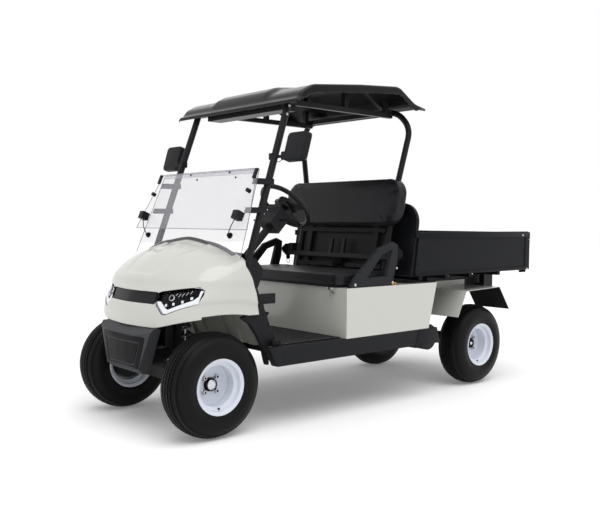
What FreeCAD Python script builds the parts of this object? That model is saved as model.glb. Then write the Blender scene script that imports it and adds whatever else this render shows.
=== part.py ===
import FreeCAD, Part
import math
import os
import re

import Sketcher
from FreeCAD import Placement, Rotation, Vector

# A two-seat golf cart with a tipping cargo bed.
# +X points forward, +Y to the cart's left and +Z up. The origin is on the floor under the middle.

# Driving sizes: millimetres, angles in degrees, and shares, which have no unit
SIZES = {
    # Wheels
    "wheelbase": 2120,
    "front_axle_ahead": 1192,
    "track": 865,
    "tyre_radius": 264,
    "tyre_width": 188,
    "tyre_wall": 13,
    "bead_radius": 127,
    "rim_flange_radius": 140,
    "rim_flange_lip": 7,
    "rim_width": 178,
    "rim_sheet": 4,
    "rim_bead_seat": 32,
    "rim_well_radius": 107,
    "wheel_recess": 100,
    "wheel_disc_dish": 6,
    "hub_bore_radius": 32,
    "bolt_circle": 101.6,
    "nut_radius": 10,
    "nut_height": 17,
    "hub_cap_radius": 31,
    "hub_cap_height": 26,
    "drum_radius": 90,
    "drum_depth": 37,
    "drum_wall": 6,
    "hub_boss_radius": 30,
    "spindle_radius": 16,
    "shaft_clearance": 0.08,
    "seat_gap": 0.3,
    # Front axle and steering
    "kingpin_half": 350,
    "kingpin_radius": 10,
    "knuckle_radius": 17,
    "knuckle_high": 74,
    "yoke_throat": 32,
    "yoke_gap": 2,
    "yoke_plate": 10,
    "axle_beam": 64,
    "beam_wall": 5,
    "backing_plate_radius": 84,
    "backing_plate": 3,
    "backing_gap": 5,
    "steering_arm": 90,
    "steering_arm_thick": 12,
    "steering_arm_wide": 22,
    "steering_arm_drop": 12,
    "ball_pin_radius": 7,
    "tie_rod_radius": 9,
    "tie_rod_end_radius": 13,
    "radius_arm_half": 172,
    "radius_arm_radius": 12,
    "radius_arm_reach": 330,
    "coil_half": 205,
    "coil_radius": 31,
    "coil_core_radius": 17,
    "coil_turns": 7,
    "tower_high": 560,
    "tower_tube": 40,
    # Ladder frame
    "rail_bottom": 360,
    "rail_high": 60,
    "rail_wide": 40,
    "rail_half": 125,
    "rail_front": 1366,
    "rail_rear": -500,
    "outrigger_wide": 40,
    "upper_rail_bottom": 600,
    "upper_rail_high": 45,
    "upper_rail_half": 270,
    "upper_rail_front": -428,
    "upper_rail_rear": -1300,
    "saddle_high": 65,
    "saddle_front": -640,
    "saddle_rear": -1250,
    "rear_post_wide": 40,
    "bed_stand_rear": -1265,
    "bed_stand_long": 100,
    "bed_stand_out": 370,
    "bed_stand_wide": 40,
    "bed_stand_high": 75,
    "bed_stand_sheet": 25,
    # Floor, sills and side panels
    "floor_sheet": 6,
    "floor_half": 500,
    "floor_front": 850,
    "mat_thick": 6,
    "mat_rib_wide": 14,
    "mat_rib_pitch": 40,
    "mat_rib_high": 3,
    "toe_board_top_ahead": 972,
    "toe_board_top": 700,
    "toe_board_sheet": 4,
    "toe_rib_wide": 60,
    "toe_rib_high": 14,
    "toe_board_half": 430,
    "sill_bottom": 329,
    "sill_high": 98,
    "sill_wide": 50,
    "sill_front": 834,
    "sill_rear": -427,
    "sill_wall": 4,
    "side_panel_out": 470,
    "side_panel_thick": 26,
    "side_panel_high": 371,
    "side_panel_long": 230,
    "side_panel_rear": 796,
    # Seat box, seat and back rest
    "body_half": 550,
    "box_front": 363,
    "box_top": 706,
    "box_rear_top": -420,
    "box_rear_bottom": -347,
    "sheet": 3,
    "lid_opening_rear": -30,
    "lid_opening_margin": 33,
    "lid_opening_half": 430,
    "seat_front": 383,
    "seat_rear": -67,
    "seat_half": 500,
    "seat_thick": 64,
    "seat_round": 26,
    "seat_board": 12,
    "seat_board_half": 470,
    "seat_board_margin": 12,
    "seat_hinge_radius": 4,
    "seat_hinge_ahead": 8,
    "seat_hinge_drop": 6,
    "seat_hinge_half": 420,
    "hinge_leaf": 14,
    "hinge_ear": 9,
    "battery_front": 320,
    "battery_rear": -320,
    "battery_half": 300,
    "battery_high": 230,
    "hip_long": 400,
    "hip_high": 256,
    "hip_rear": -69,
    "hip_thick": 26,
    "hip_out": 542,
    "hip_round": 5,
    "back_lean_deg": 11.1,
    "back_middle": 1197,
    "back_middle_ahead": -129,
    "back_high": 300,
    "back_half": 520,
    "back_thick": 76,
    "back_corner": 110,
    "back_round": 24,
    "back_post_half": 300,
    "back_post_wide": 40,
    "back_post_deep": 24,
    "back_post_top": 1240,
    "back_panel_low": 790,
    "back_panel_high": 1040,
    "back_panel_half": 377,
    "back_bar": 28,
    "belt_bar_high": 850,
    "belt_bar_half": 470,
    "belt_bar_tube": 28,
    "retractor_high": 80,
    "retractor_wide": 44,
    "retractor_deep": 40,
    "buckle_high": 90,
    "buckle_wide": 26,
    "buckle_deep": 16,
    "buckle_half": 55,
    # Front cowl
    "cowl_pivot_ahead": 800,
    "cowl_pivot_high": 470,
    "cowl_reach": 641,
    "cowl_half": 498,
    "cowl_foot": 90,
    "cowl_wall": 4,
    "cowl_lip": 541,
    "cowl_rear_bottom_ahead": 933,
    "cowl_rear_bottom": 585,
    "cowl_rear_top_ahead": 1040,
    "cowl_rear_high": 970,
    "cowl_arch_radius": 826,
    "cowl_arch_ahead": 1150,
    "cowl_arch_high": 614,
    "cowl_lip_half": 240,
    "cowl_corner_half": 480,
    "cowl_corner_high": 600,
    "grille_low": 657,
    "grille_high": 60,
    "grille_half": 208,
    "lamp_gap": 8,
    "lamp_thick": 16,
    "lamp_inner": 219,
    "lamp_long": 234,
    "lamp_low": 609,
    "lamp_high": 141,
    "cowl_room": 400,
    "cowl_bracket_half": 200,
    "cowl_bracket_wide": 24,
    # Front bumper
    "bumper_front": 1454,
    "bumper_rear": 1372,
    "bumper_bottom": 297,
    "bumper_high": 240,
    "bumper_half": 263,
    "bumper_low_half": 150,
    "bumper_wall": 5,
    "bumper_bow": 26,
    "bumper_round": 12,
    "bumper_lug_high": 40,
    # Dashboard, column, wheel and pedals
    "dash_rear": 868,
    "dash_front": 1014,
    "dash_low": 704,
    "dash_high": 216,
    "dash_half": 436,
    "dash_wall": 5,
    "steer_ahead": 560,
    "steer_half": 250,
    "steer_high": 1160,
    "steer_lean_deg": 45,
    "steer_radius": 165,
    "steer_rim_radius": 13,
    "steer_hub_radius": 56,
    "steer_hub_deep": 44,
    "steer_spoke_wide": 36,
    "steer_spoke_thick": 12,
    "column_radius": 21,
    "column_long": 510,
    "column_shaft_radius": 11,
    "column_gap": 6,
    "shroud_long": 120,
    "shroud_wide": 110,
    "shroud_deep": 86,
    "shroud_round": 14,
    "lever_radius": 5,
    "lever_long": 130,
    "pedal_half": 230,
    "pedal_apart": 130,
    "pedal_wide": 66,
    "pedal_high": 100,
    "pedal_thick": 8,
    "pedal_lean_deg": 40,
    "pedal_ahead": 800,
    "pedal_arm": 70,
    # Struts, hoop and roof
    "strut_radius": 19,
    "strut_bend": 90,
    "strut_top_ahead": 690,
    "strut_top_half": 424,
    "strut_top_high": 1706,
    "strut_knee_ahead": 952,
    "strut_knee_high": 950,
    "strut_low_half": 456,
    "strut_bow_ahead": 990,
    "strut_bow_high": 846,
    "strut_foot_ahead": 930,
    "hoop_radius": 18,
    "hoop_bend": 150,
    "hoop_low_half": 396,
    "hoop_waist_high": 1230,
    "hoop_wide_half": 488,
    "hoop_wide_high": 1640,
    "hoop_wide_ahead": -222,
    "hoop_top_ahead": -205,
    "hoop_top_half": 400,
    "hoop_top_high": 1742,
    "roof_rear": -285,
    "roof_long": 1033,
    "roof_low": 1709,
    "roof_rise": 153,
    "roof_half": 550,
    "roof_sheet": 5,
    "roof_skirt": 44,
    "roof_lip_high": 20,
    "roof_centre_rise": 20,
    "roof_centre_half": 300,
    "roof_ramp": 50,
    "roof_bend": 45,
    "roof_bearer": 28,
    "roof_bearer_half": 361,
    "header_ahead": 572,
    "header_deep": 100,
    "header_high": 30,
    # Windscreen and mirrors
    "glass": 5,
    "screen_top_ahead": 903,
    "screen_top": 1340,
    "screen_top_half": 452,
    "screen_bottom_half": 511,
    "screen_lean_deg": 20,
    "screen_long": 480,
    "fold_lean_deg": 23.3,
    "fold_long": 342,
    "fold_bottom_half": 540,
    "fold_gap": 12,
    "screen_hinge_high": 24,
    "screen_hinge_half": 430,
    "screen_clip_wide": 22,
    "screen_clip_high": 60,
    "screen_clamp_high": 30,
    "screen_knob_radius": 11,
    "screen_block": 44,
    "screen_block_drop": 253,
    "screen_knob_drop": 132,
    "screen_fitting_half": 459,
    "mirror_ahead": 762,
    "mirror_low": 1380,
    "mirror_high": 155,
    "mirror_inner": 486,
    "mirror_wide": 182,
    "mirror_thick": 34,
    "mirror_round": 26,
    "mirror_arm_high": 1414,
    "mirror_arm_radius": 11,
    # Rear fenders
    "fender_front": -618,
    "fender_long": 567,
    "fender_low": 474,
    "fender_high": 174,
    "fender_inner": 290,
    "fender_outer": 565,
    "fender_sheet": 3,
    "fender_flange": 52,
    # Rear axle and springs
    "axle_tube_radius": 32,
    "gear_case_radius": 92,
    "gear_case_wide": 150,
    "motor_radius": 82,
    "motor_long": 220,
    "motor_ahead": 175,
    "motor_raise": 24,
    "leaf_half": 270,
    "leaf_wide": 48,
    "leaf_thick": 8,
    "leaf_count": 3,
    "leaf_seat": 10,
    "leaf_span": 770,
    "leaf_rise": 92,
    "leaf_eye_radius": 20,
    "hanger_sheet": 6,
    # Cargo bed and tailgate
    "bed_bottom": 746,
    "bed_top": 1017,
    "bed_front": -182,
    "bed_rear": -1422,
    "bed_half": 550,
    "bed_lean_deg": 8.7,
    "bed_floor": 4,
    "bed_rail_high": 40,
    "bed_rail_wide": 30,
    "bed_fold": 22,
    "bed_recess": 4,
    "bed_rib_wide": 30,
    "bed_rib_high": 24,
    "headboard_top": 1190,
    "headboard_frame": 34,
    "headboard_deep": 26,
    "headboard_corner": 130,
    "headboard_half": 540,
    "gate_gap": 5,
    "gate_deep": 24,
    "gate_half": 545,
    "gate_lift": 6,
    "gate_pin_radius": 5,
    "gate_pin_drop": 8,
    "gate_pin_behind": 14,
    "gate_lug_radius": 9,
    "gate_lug": 8,
    "gate_lug_half": 500,
    "latch_high": 60,
    "latch_wide": 34,
    "latch_deep": 6,
    "bed_pivot_ahead": -1250,
    "bed_pivot_high": 728,
    "bed_pin_radius": 8,
    "bed_lug": 12,
    "bed_lug_gap": 5,
    "bed_bracket_wide": 70,
}

os.makedirs("parts", exist_ok=True)
doc = FreeCAD.newDocument("golf_cart")
sheet = doc.addObject("Spreadsheet::Sheet", "Sizes")
for row, (alias, value) in enumerate(SIZES.items(), start=1):
    sheet.set(f"A{row}", alias)
    sheet.set(f"B{row}", str(value))
    sheet.setAlias(f"B{row}", alias)
doc.recompute()


class Sizes:
    """The sheet's values as plain numbers, for shapes that a formula can't carry."""

    def __getattr__(self, alias):
        return float(sheet.get(alias))


d = Sizes()
NODES = {}
formula_cells = {}
X, Y, Z = Vector(1, 0, 0), Vector(0, 1, 0), Vector(0, 0, 1)


def formula(text):
    """Write the sheet's name before each size in a formula."""
    return re.sub(r"\b([a-z]\w*)\b(?!\()", lambda word: "pi" if word[1] == "pi" else f"Sizes.{word[1]}", text)


def reckon(text):
    """Work out a formula of named sizes in a cell of the sheet."""
    if text not in formula_cells:
        formula_cells[text] = f"D{len(formula_cells) + 1}"
        sheet.set(formula_cells[text], f"={text}")
        sheet.recompute()
    return float(sheet.get(formula_cells[text]))


def bind(obj, **formulas):
    """Tie properties to formulas; x, y and z stand for the place."""
    for name, text in formulas.items():
        path = f".Placement.Base.{name}" if name in "xyz" else name
        obj.setExpression(path, formula(text))
    return obj


def block(name, x, y, z):
    """A box from its low and high formulas along each axis."""
    box = doc.addObject("Part::Box", name)
    for axis, side, (low, high) in zip("xyz", ("Length", "Width", "Height"), (x, y, z)):
        bind(box, **{axis: low, side: f"({high}) - ({low})"})
    return box


def rod(name, start, radius, length, along=Z):
    """A cylinder that starts at a point, given by formulas, and runs along a direction."""
    cylinder = doc.addObject("Part::Cylinder", name)
    cylinder.Placement.Rotation = Rotation(Z, along)
    x, y, z = start
    return bind(cylinder, Radius=radius, Height=length, x=x, y=y, z=z)


def cut(name, base, *tools):
    tool = tools[0] if len(tools) == 1 else join(f"{name}_tools", *tools)
    result = doc.addObject("Part::Cut", name)
    result.Base, result.Tool = base, tool
    return result


def join(name, *pieces):
    result = doc.addObject("Part::MultiFuse", name)
    result.Shapes = list(pieces)
    return result


def common(name, *pieces):
    result = doc.addObject("Part::MultiCommon", name)
    result.Shapes = list(pieces)
    return result


def flip(name, piece, normal=Y):
    """The mirror image of a piece, on the cart's other side."""
    result = doc.addObject("Part::Mirroring", name)
    result.Source, result.Normal = piece, normal
    return result


def group(name, *pieces):
    """Solids that don't touch and share a node."""
    result = doc.addObject("Part::Compound", name)
    result.Links = list(pieces)
    return result


def both_sides(name, piece):
    return group(name, piece, flip(f"{name}_right", piece))


def shape(name, solid):
    """A piece whose form no primitive gives, made from the sheet's values."""
    feature = doc.addObject("Part::Feature", name)
    feature.Shape = solid
    return feature


def node(label, piece):
    """Name a finished piece; its label names its file."""
    piece.Label = label
    NODES[label] = piece
    return piece


def sketch(body, plane, *loops):
    """A sketch of closed outlines, each corner tied to the sheet by its two formulas."""
    drawing = body.newObject("Sketcher::SketchObject", f"{body.Name}_outline")
    origin = next(part for part in body.Origin.OriginFeatures if part.Role == f"{plane}_Plane")
    drawing.AttachmentSupport, drawing.MapMode = [(origin, "")], "FlatFace"
    first = 0
    for loop in loops:
        corners = [Vector(reckon(across), reckon(up), 0) for across, up in loop]
        for start, end in zip(corners, corners[1:] + corners[:1]):
            drawing.addGeometry(Part.LineSegment(start, end))
        for number, (across, up) in enumerate(loop):
            line, following = first + number, first + (number + 1) % len(loop)
            drawing.addConstraint(Sketcher.Constraint("Coincident", line, 2, following, 1))
            for direction, place in (("DistanceX", across), ("DistanceY", up)):
                tie = Sketcher.Constraint(direction, -1, 1, line, 1, reckon(place))
                drawing.setExpression(f"Constraints[{drawing.addConstraint(tie)}]", formula(place))
        first += len(loop)
    return drawing


def plate(name, plane, low, thick, *loops):
    """A pad of an outline: XZ pads grow towards +Y, YZ pads towards +X and XY pads up."""
    body = doc.addObject("PartDesign::Body", name)
    drawing = sketch(body, plane, *loops)
    pad = body.newObject("PartDesign::Pad", f"{name}_pad")
    pad.Profile, pad.Reversed = drawing, plane == "XZ"
    bind(pad, Length=thick)
    return bind(body, **{{"XY": "z", "XZ": "y", "YZ": "x"}[plane]: low})


def turned(name, x, y, z, *loops):
    """A revolved piece: outlines of radius and place along Y, turned about the Y axis."""
    body = doc.addObject("PartDesign::Body", name)
    drawing = sketch(body, "XY", *loops)
    revolution = body.newObject("PartDesign::Revolution", f"{name}_turn")
    revolution.Profile = drawing
    revolution.ReferenceAxis = (drawing, ["V_Axis"])
    return bind(body, x=x, y=y, z=z)


def rounded(body, radius, choose):
    """Round the edges of a body's last feature that the test picks."""
    doc.recompute()
    edges = [f"Edge{number}" for number, edge in enumerate(body.Tip.Shape.Edges, 1) if choose(edge)]
    base = body.Tip
    fillet = body.newObject("PartDesign::Fillet", f"{body.Name}_fillet")
    fillet.Base = (base, edges)
    bind(fillet, Radius=radius)
    return body


def along(edge, axis):
    """True where an edge is straight and runs along an axis."""
    return edge.Curve.TypeId == "Part::GeomLine" and abs(edge.tangentAt(edge.FirstParameter).dot(axis)) > 0.999


def across(edge, axis):
    """True where every point of an edge has the same place along an axis."""
    ends = [edge.valueAt(edge.FirstParameter).dot(axis), edge.valueAt(edge.LastParameter).dot(axis)]
    middle = edge.valueAt((edge.FirstParameter + edge.LastParameter) / 2).dot(axis)
    return max(abs(ends[0] - ends[1]), abs(ends[0] - middle)) < d.shaft_clearance


def bent_line(points, bend):
    """Straight runs joined by tangent arcs, each as large as its runs allow."""
    edges, start = [], points[0]
    for before, corner, after in zip(points, points[1:], points[2:]):
        back, on = (before - corner), (after - corner)
        half_turn = (math.pi - back.getAngle(on)) / 2
        reach = min(bend * math.tan(half_turn), 0.45 * min(back.Length, on.Length))
        back.normalize()
        on.normalize()
        first, last = corner + back * reach, corner + on * reach
        inward = (back + on).normalize()
        radius = reach / math.tan(half_turn)
        middle = corner + inward * (radius / math.cos(half_turn) - radius)
        edges += [Part.LineSegment(start, first).toShape(), Part.Arc(first, middle, last).toShape()]
        start = last
    edges.append(Part.LineSegment(start, points[-1]).toShape())
    return Part.Wire(edges)


def tube(name, points, radius, bend):
    """A bent round bar: a circle swept along a bent line."""
    spine = shape(f"{name}_line", bent_line(points, bend))
    ring = doc.addObject("Part::Circle", f"{name}_ring")
    bind(ring, Radius=radius)
    ring.Placement = Placement(points[0], Rotation(Z, points[1] - points[0]))
    sweep = doc.addObject("Part::Sweep", name)
    sweep.Sections = [ring]
    sweep.Spine = (spine, [f"Edge{number + 1}" for number in range(len(spine.Shape.Edges))])
    sweep.Solid = True
    return sweep


def prism(points, direction):
    """A straight extrusion of a flat closed outline."""
    return Part.Face(Part.makePolygon(list(points) + [points[0]])).extrude(direction)


def spread(shares, left, length, low, high):
    """Formulas of outline points given as shares of a length and a height."""
    return [(f"{left} + {across_share} * {length}", f"{low} + {up_share} * {high}")
            for across_share, up_share in shares]


def spread_values(shares, left, length, low, high):
    return [(left + across_share * length, low + up_share * high) for across_share, up_share in shares]


REAR_AXLE = "(front_axle_ahead - wheelbase)"
WHEEL_AXLES = {"front": "front_axle_ahead", "rear": REAR_AXLE}

# Tyres: a carcass from bead to bead, open to the rim; shares of its height and of its half width
TYRE_SHARES = ((0.0, 0.9), (0.2, 0.99), (0.444, 1.0), (0.613, 0.936), (0.774, 0.81), (0.895, 0.64),
               (0.968, 0.45), (1.0, 0.23))
TYRE_INNER_SHARES = ((0.1, 0.98), (0.444, 1.0), (0.774, 0.81), (0.968, 0.45))
bead_low, bead_out = "bead_radius + seat_gap", "rim_width / 2 - rim_flange_lip"
carcass_low = "(rim_flange_radius + seat_gap)"


def tyre_wall_points(shares, inset):
    """Points from the bead to the tread, moved in by an inset."""
    return [(f"{carcass_low} + {up_share} * (tyre_radius - {inset} - {carcass_low})",
             f"{out_share} * (tyre_width / 2 - {inset})") for up_share, out_share in shares]


def other_wall(points):
    """The same points on the tyre's other side, from the tread back to the bead."""
    return [(radius, f"-({out})") for radius, out in reversed(points)]


tyre_outside = [(bead_low, bead_out), (carcass_low, bead_out)] + tyre_wall_points(TYRE_SHARES, "0")
tyre_inside = [(bead_low, f"{bead_out} - tyre_wall")] + tyre_wall_points(TYRE_INNER_SHARES, "tyre_wall")
tyre_loop = tyre_outside + other_wall(tyre_outside)
tyre_loop += [(radius, f"-({out})") for radius, out in tyre_inside] + tyre_inside[::-1]

# Rims: one rolled sheet with flanges, bead seats, a drop well and a deep disc
disc = "rim_width / 2 - wheel_recess"
rim_loop = [
    ("rim_flange_radius", "rim_width / 2"),
    ("rim_flange_radius", "rim_width / 2 - rim_flange_lip"),
    ("bead_radius", "rim_width / 2 - rim_flange_lip"),
    ("bead_radius - rim_sheet / 4", "rim_width / 2 - rim_bead_seat"),
    ("rim_well_radius", "rim_width / 2 - rim_bead_seat - rim_sheet * 2"),
    ("rim_well_radius", "-rim_width / 2 + rim_bead_seat + rim_sheet * 2"),
    ("bead_radius - rim_sheet / 4", "-rim_width / 2 + rim_bead_seat"),
    ("bead_radius", "-rim_width / 2 + rim_flange_lip"),
    ("rim_flange_radius", "-rim_width / 2 + rim_flange_lip"),
    ("rim_flange_radius", "-rim_width / 2"),
    ("rim_flange_radius - rim_sheet", "-rim_width / 2"),
    ("bead_radius - rim_sheet", "-rim_width / 2 + rim_flange_lip"),
    ("bead_radius - rim_sheet * 5 / 4", "-rim_width / 2 + rim_bead_seat - rim_sheet / 2"),
    ("rim_well_radius - rim_sheet", "-rim_width / 2 + rim_bead_seat + rim_sheet * 3 / 2"),
    ("rim_well_radius - rim_sheet", f"{disc} - rim_sheet - wheel_disc_dish"),
    ("drum_radius + seat_gap", f"{disc} - rim_sheet"),
    ("hub_bore_radius", f"{disc} - rim_sheet"),
    ("hub_bore_radius", disc),
    ("drum_radius + seat_gap", disc),
    ("rim_well_radius - rim_sheet", f"{disc} + wheel_disc_dish"),
    ("rim_well_radius - rim_sheet", "rim_width / 2 - rim_bead_seat - rim_sheet * 3 / 2"),
    ("bead_radius - rim_sheet * 5 / 4", "rim_width / 2 - rim_bead_seat + rim_sheet / 2"),
    ("bead_radius - rim_sheet", "rim_width / 2 - rim_flange_lip"),
    ("rim_flange_radius - rim_sheet", "rim_width / 2"),
]

# Hubs: brake drum, bored boss for the spindle, wheel nuts and grease cap
drum_back = f"{disc} - rim_sheet"
hub_loop = [
    ("0", f"{drum_back}"),
    ("drum_radius", f"{drum_back}"),
    ("drum_radius", f"{drum_back} - drum_depth"),
    ("drum_radius - drum_wall", f"{drum_back} - drum_depth"),
    ("drum_radius - drum_wall", f"{drum_back} - drum_wall"),
    ("hub_boss_radius", f"{drum_back} - drum_wall"),
    ("hub_boss_radius", f"{drum_back} - drum_depth"),
    ("spindle_radius + shaft_clearance", f"{drum_back} - drum_depth"),
    ("spindle_radius + shaft_clearance", f"{drum_back} - drum_wall"),
    ("0", f"{drum_back} - drum_wall"),
]


def wheel_set(place, ahead):
    """Tyre, rim and hub of the left wheel of an axle, and their mirror images."""
    centre = (ahead, "track / 2", "tyre_radius")
    tyre = turned(f"{place}_left_tyre_body", *centre, tyre_loop)
    wheel = turned(f"{place}_left_rim_body", *centre, rim_loop)
    drum = turned(f"{place}_left_drum_body", *centre, hub_loop)
    outside = f"track / 2 + {disc}"
    parts = [drum, rod(f"{place}_cap", (ahead, f"track / 2 + {drum_back}", "tyre_radius"),
                       "hub_cap_radius", "hub_cap_height", Y)]
    holes = []
    for number, (right, up) in enumerate(((1, 1), (1, -1), (-1, -1), (-1, 1))):
        spot = (f"{ahead} + {right} * bolt_circle / 2 * sqrt(0.5)", outside,
                f"tyre_radius + {up} * bolt_circle / 2 * sqrt(0.5)")
        parts.append(rod(f"{place}_nut_{number}", spot, "nut_radius", "nut_height", Y))
        stud = (spot[0], f"track / 2 + {drum_back}", spot[2])
        parts.append(rod(f"{place}_stud_{number}", stud, "nut_radius / 2", "nut_height", Y))
        holes.append(rod(f"{place}_hole_{number}", stud, "nut_radius / 2", "nut_height", Y))
    hub = join(f"{place}_left_hub_set", *parts)
    rim = cut(f"{place}_left_rim_set", wheel, *holes)
    for kind, piece in (("tyre", tyre), ("rim", rim), ("hub", hub)):
        node(f"{place}_left_{kind}", piece)
        node(f"{place}_right_{kind}", flip(f"{place}_right_{kind}_set", piece))


for place, ahead in WHEEL_AXLES.items():
    wheel_set(place, ahead)

# Ladder frame: rails, outriggers, spring tower, rear frame and hangers, welded face to face
rail_top = "(rail_bottom + rail_high)"
rail_in, rail_out = "(rail_half - rail_wide / 2)", "(rail_half + rail_wide / 2)"
rail_y, rail_z = (rail_in, rail_out), ("rail_bottom", rail_top)
upper_top = "(upper_rail_bottom + upper_rail_high)"
upper_in, upper_out = "(upper_rail_half - rail_wide / 2)", "(upper_rail_half + rail_wide / 2)"
upper_y, upper_z = (upper_in, upper_out), ("upper_rail_bottom", upper_top)
post_front = "(rail_rear + rear_post_wide)"
post_x = ("rail_rear", post_front)
tower_x = ("front_axle_ahead - tower_tube / 2", "front_axle_ahead + tower_tube / 2")
saddle_top = f"({upper_top} + saddle_high)"
leaf_low = "tyre_radius + axle_tube_radius + leaf_seat"
leaf_eye_high = f"({leaf_low} + leaf_rise)"
hanger_in = "(leaf_half - leaf_wide / 2 - hanger_sheet)"
arm_foot = "(front_axle_ahead - radius_arm_reach)"
bracket_y = (f"{upper_in} - bed_lug", upper_in)
left_frame = [
    block("rail", ("rail_rear", "rail_front"), rail_y, rail_z),
    block("upper_rail", ("upper_rail_rear", "upper_rail_front"), upper_y, upper_z),
    block("saddle", ("saddle_rear", "saddle_front"), upper_y, (upper_top, saddle_top)),
    block("front_post", post_x, upper_y, ("rail_bottom", "upper_rail_bottom")),
    block("post_brace", post_x, (rail_out, upper_in), rail_z),
    block("tower_post", tower_x, rail_y, (rail_top, "tower_high")),
    block("arm_bracket", (arm_foot, f"{arm_foot} + rail_wide"), (rail_out, "radius_arm_half + radius_arm_radius"),
          ("tyre_radius - radius_arm_radius", rail_top)),
    block("stand_bracket", ("bed_stand_rear", "bed_stand_rear + bed_stand_long"), (upper_out, "bed_stand_out"),
          (f"{upper_top} - bed_stand_sheet", upper_top)),
    block("bed_stand", ("bed_stand_rear", "bed_stand_rear + bed_stand_long"),
          ("bed_stand_out - bed_stand_wide", "bed_stand_out"), (upper_top, f"{upper_top} + bed_stand_high")),
]
for end, eye_x in (("front", f"({REAR_AXLE} + leaf_span / 2)"), ("rear", f"({REAR_AXLE} - leaf_span / 2)")):
    hanger_x = (f"{eye_x} - leaf_eye_radius", f"{eye_x} + leaf_eye_radius")
    left_frame += [
        block(f"{end}_hanger", hanger_x, (hanger_in, "leaf_half - leaf_wide / 2"),
              (f"{leaf_eye_high} - leaf_eye_radius", "upper_rail_bottom")),
        block(f"{end}_hanger_foot", hanger_x, (hanger_in, upper_in), upper_z),
    ]
bed_bracket = join(
    "bed_bracket",
    block("bed_bracket_foot", ("bed_pivot_ahead - bed_bracket_wide / 2", "bed_pivot_ahead + bed_bracket_wide / 2"),
          bracket_y, (upper_top, "bed_pivot_high - bed_lug")),
    block("bed_bracket_neck", ("bed_pivot_ahead - bed_lug", "bed_pivot_ahead + bed_lug"), bracket_y,
          ("bed_pivot_high - bed_lug", "bed_pivot_high")),
    rod("bed_bracket_head", ("bed_pivot_ahead", bracket_y[0], "bed_pivot_high"), "bed_lug", "bed_lug", Y),
    rod("bed_pin", ("bed_pivot_ahead", bracket_y[1], "bed_pivot_high"), "bed_pin_radius", "2 * bed_lug", Y),
)
OUTRIGGER_SHARES = (0.0, 0.3, 0.63, 0.97)
outrigger_z = (f"{rail_top} - outrigger_wide", rail_top)
middle_bars = []
for number, share in enumerate(OUTRIGGER_SHARES):
    start = f"{post_front} + {share} * (floor_front - {post_front} - outrigger_wide)"
    outrigger_x = (start, f"{start} + outrigger_wide")
    left_frame.append(block(f"outrigger_{number}", outrigger_x, (rail_out, "floor_half"), outrigger_z))
    middle_bars.append(block(f"cross_bar_{number}", outrigger_x, (f"-{rail_in}", rail_in), outrigger_z))
middle_bars += [
    block("tower_bar", tower_x, ("-coil_half - coil_radius", "coil_half + coil_radius"),
          ("tower_high", "tower_high + tower_tube")),
    block("rear_bar", ("upper_rail_rear", "upper_rail_rear + rail_wide"), (f"-{hanger_in}", hanger_in), upper_z),
    block("post_bar", post_x, (f"-{rail_in}", rail_in), rail_z),
    block("front_bar", ("rail_front - rail_wide", "rail_front"), (f"-{rail_in}", rail_in), rail_z),
]
left_side = group("frame_left", *left_frame, bed_bracket)
node("frame", group("frame_set", left_side, flip("frame_right", left_side), *middle_bars))

# Front axle beam with yokes, kingpins and radius arms
beam_low, beam_high = "tyre_radius - axle_beam / 2", "tyre_radius + axle_beam / 2"
plate_low = "tyre_radius + knuckle_high / 2 + yoke_gap"
yoke_reach = "(knuckle_high / 2 + yoke_gap + yoke_plate)"
left_axle = [
    block("beam", ("front_axle_ahead - axle_beam / 2", "front_axle_ahead + axle_beam / 2"),
          ("0", "kingpin_half - yoke_throat"), (beam_low, beam_high)),
    block("yoke_web", ("front_axle_ahead - knuckle_radius", "front_axle_ahead + knuckle_radius"),
          ("kingpin_half - yoke_throat - yoke_plate", "kingpin_half - yoke_throat"),
          (f"tyre_radius - {yoke_reach}", f"tyre_radius + {yoke_reach}")),
    rod("kingpin", ("front_axle_ahead", "kingpin_half", f"tyre_radius - {yoke_reach}"),
        "kingpin_radius", f"2 * {yoke_reach}"),
    rod("radius_arm", ("front_axle_ahead - axle_beam / 2", "radius_arm_half", "tyre_radius"),
        "radius_arm_radius", "radius_arm_reach - rail_wide - axle_beam / 2", -X),
]
for number, foot in enumerate((plate_low, f"tyre_radius - {yoke_reach}")):
    left_axle.append(block(f"yoke_plate_{number}", ("front_axle_ahead - knuckle_radius", "front_axle_ahead + knuckle_radius"),
                           ("kingpin_half - yoke_throat", "kingpin_half"), (foot, f"{foot} + yoke_plate")))
    left_axle.append(rod(f"yoke_end_{number}", ("front_axle_ahead", "kingpin_half", foot),
                         "knuckle_radius", "yoke_plate"))
axle_left = join("front_axle_left", *left_axle)
node("front_axle", join("front_axle_set", axle_left, flip("front_axle_right", axle_left)))


def spring(name, x, y, foot, top):
    """A coil spring over its damper, with the coils drawn as one ridged sleeve."""
    body = doc.addObject("PartDesign::Body", name)
    pitch = f"(({top}) - ({foot})) / coil_turns"
    loop = [("0", "0")]
    for turn in range(int(d.coil_turns)):
        loop += [("coil_core_radius", f"{turn} * {pitch}"), ("coil_radius", f"({turn} + 0.5) * {pitch}")]
    loop += [("coil_core_radius", f"coil_turns * {pitch}"), ("0", f"coil_turns * {pitch}")]
    drawing = sketch(body, "XZ", loop)
    revolution = body.newObject("PartDesign::Revolution", f"{name}_turn")
    revolution.Profile, revolution.ReferenceAxis = drawing, (drawing, ["V_Axis"])
    return bind(body, x=x, y=y, z=foot)


node("front_springs", both_sides("front_spring_pair", spring(
    "front_spring", "front_axle_ahead", "coil_half", beam_high, "tower_high")))

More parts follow.
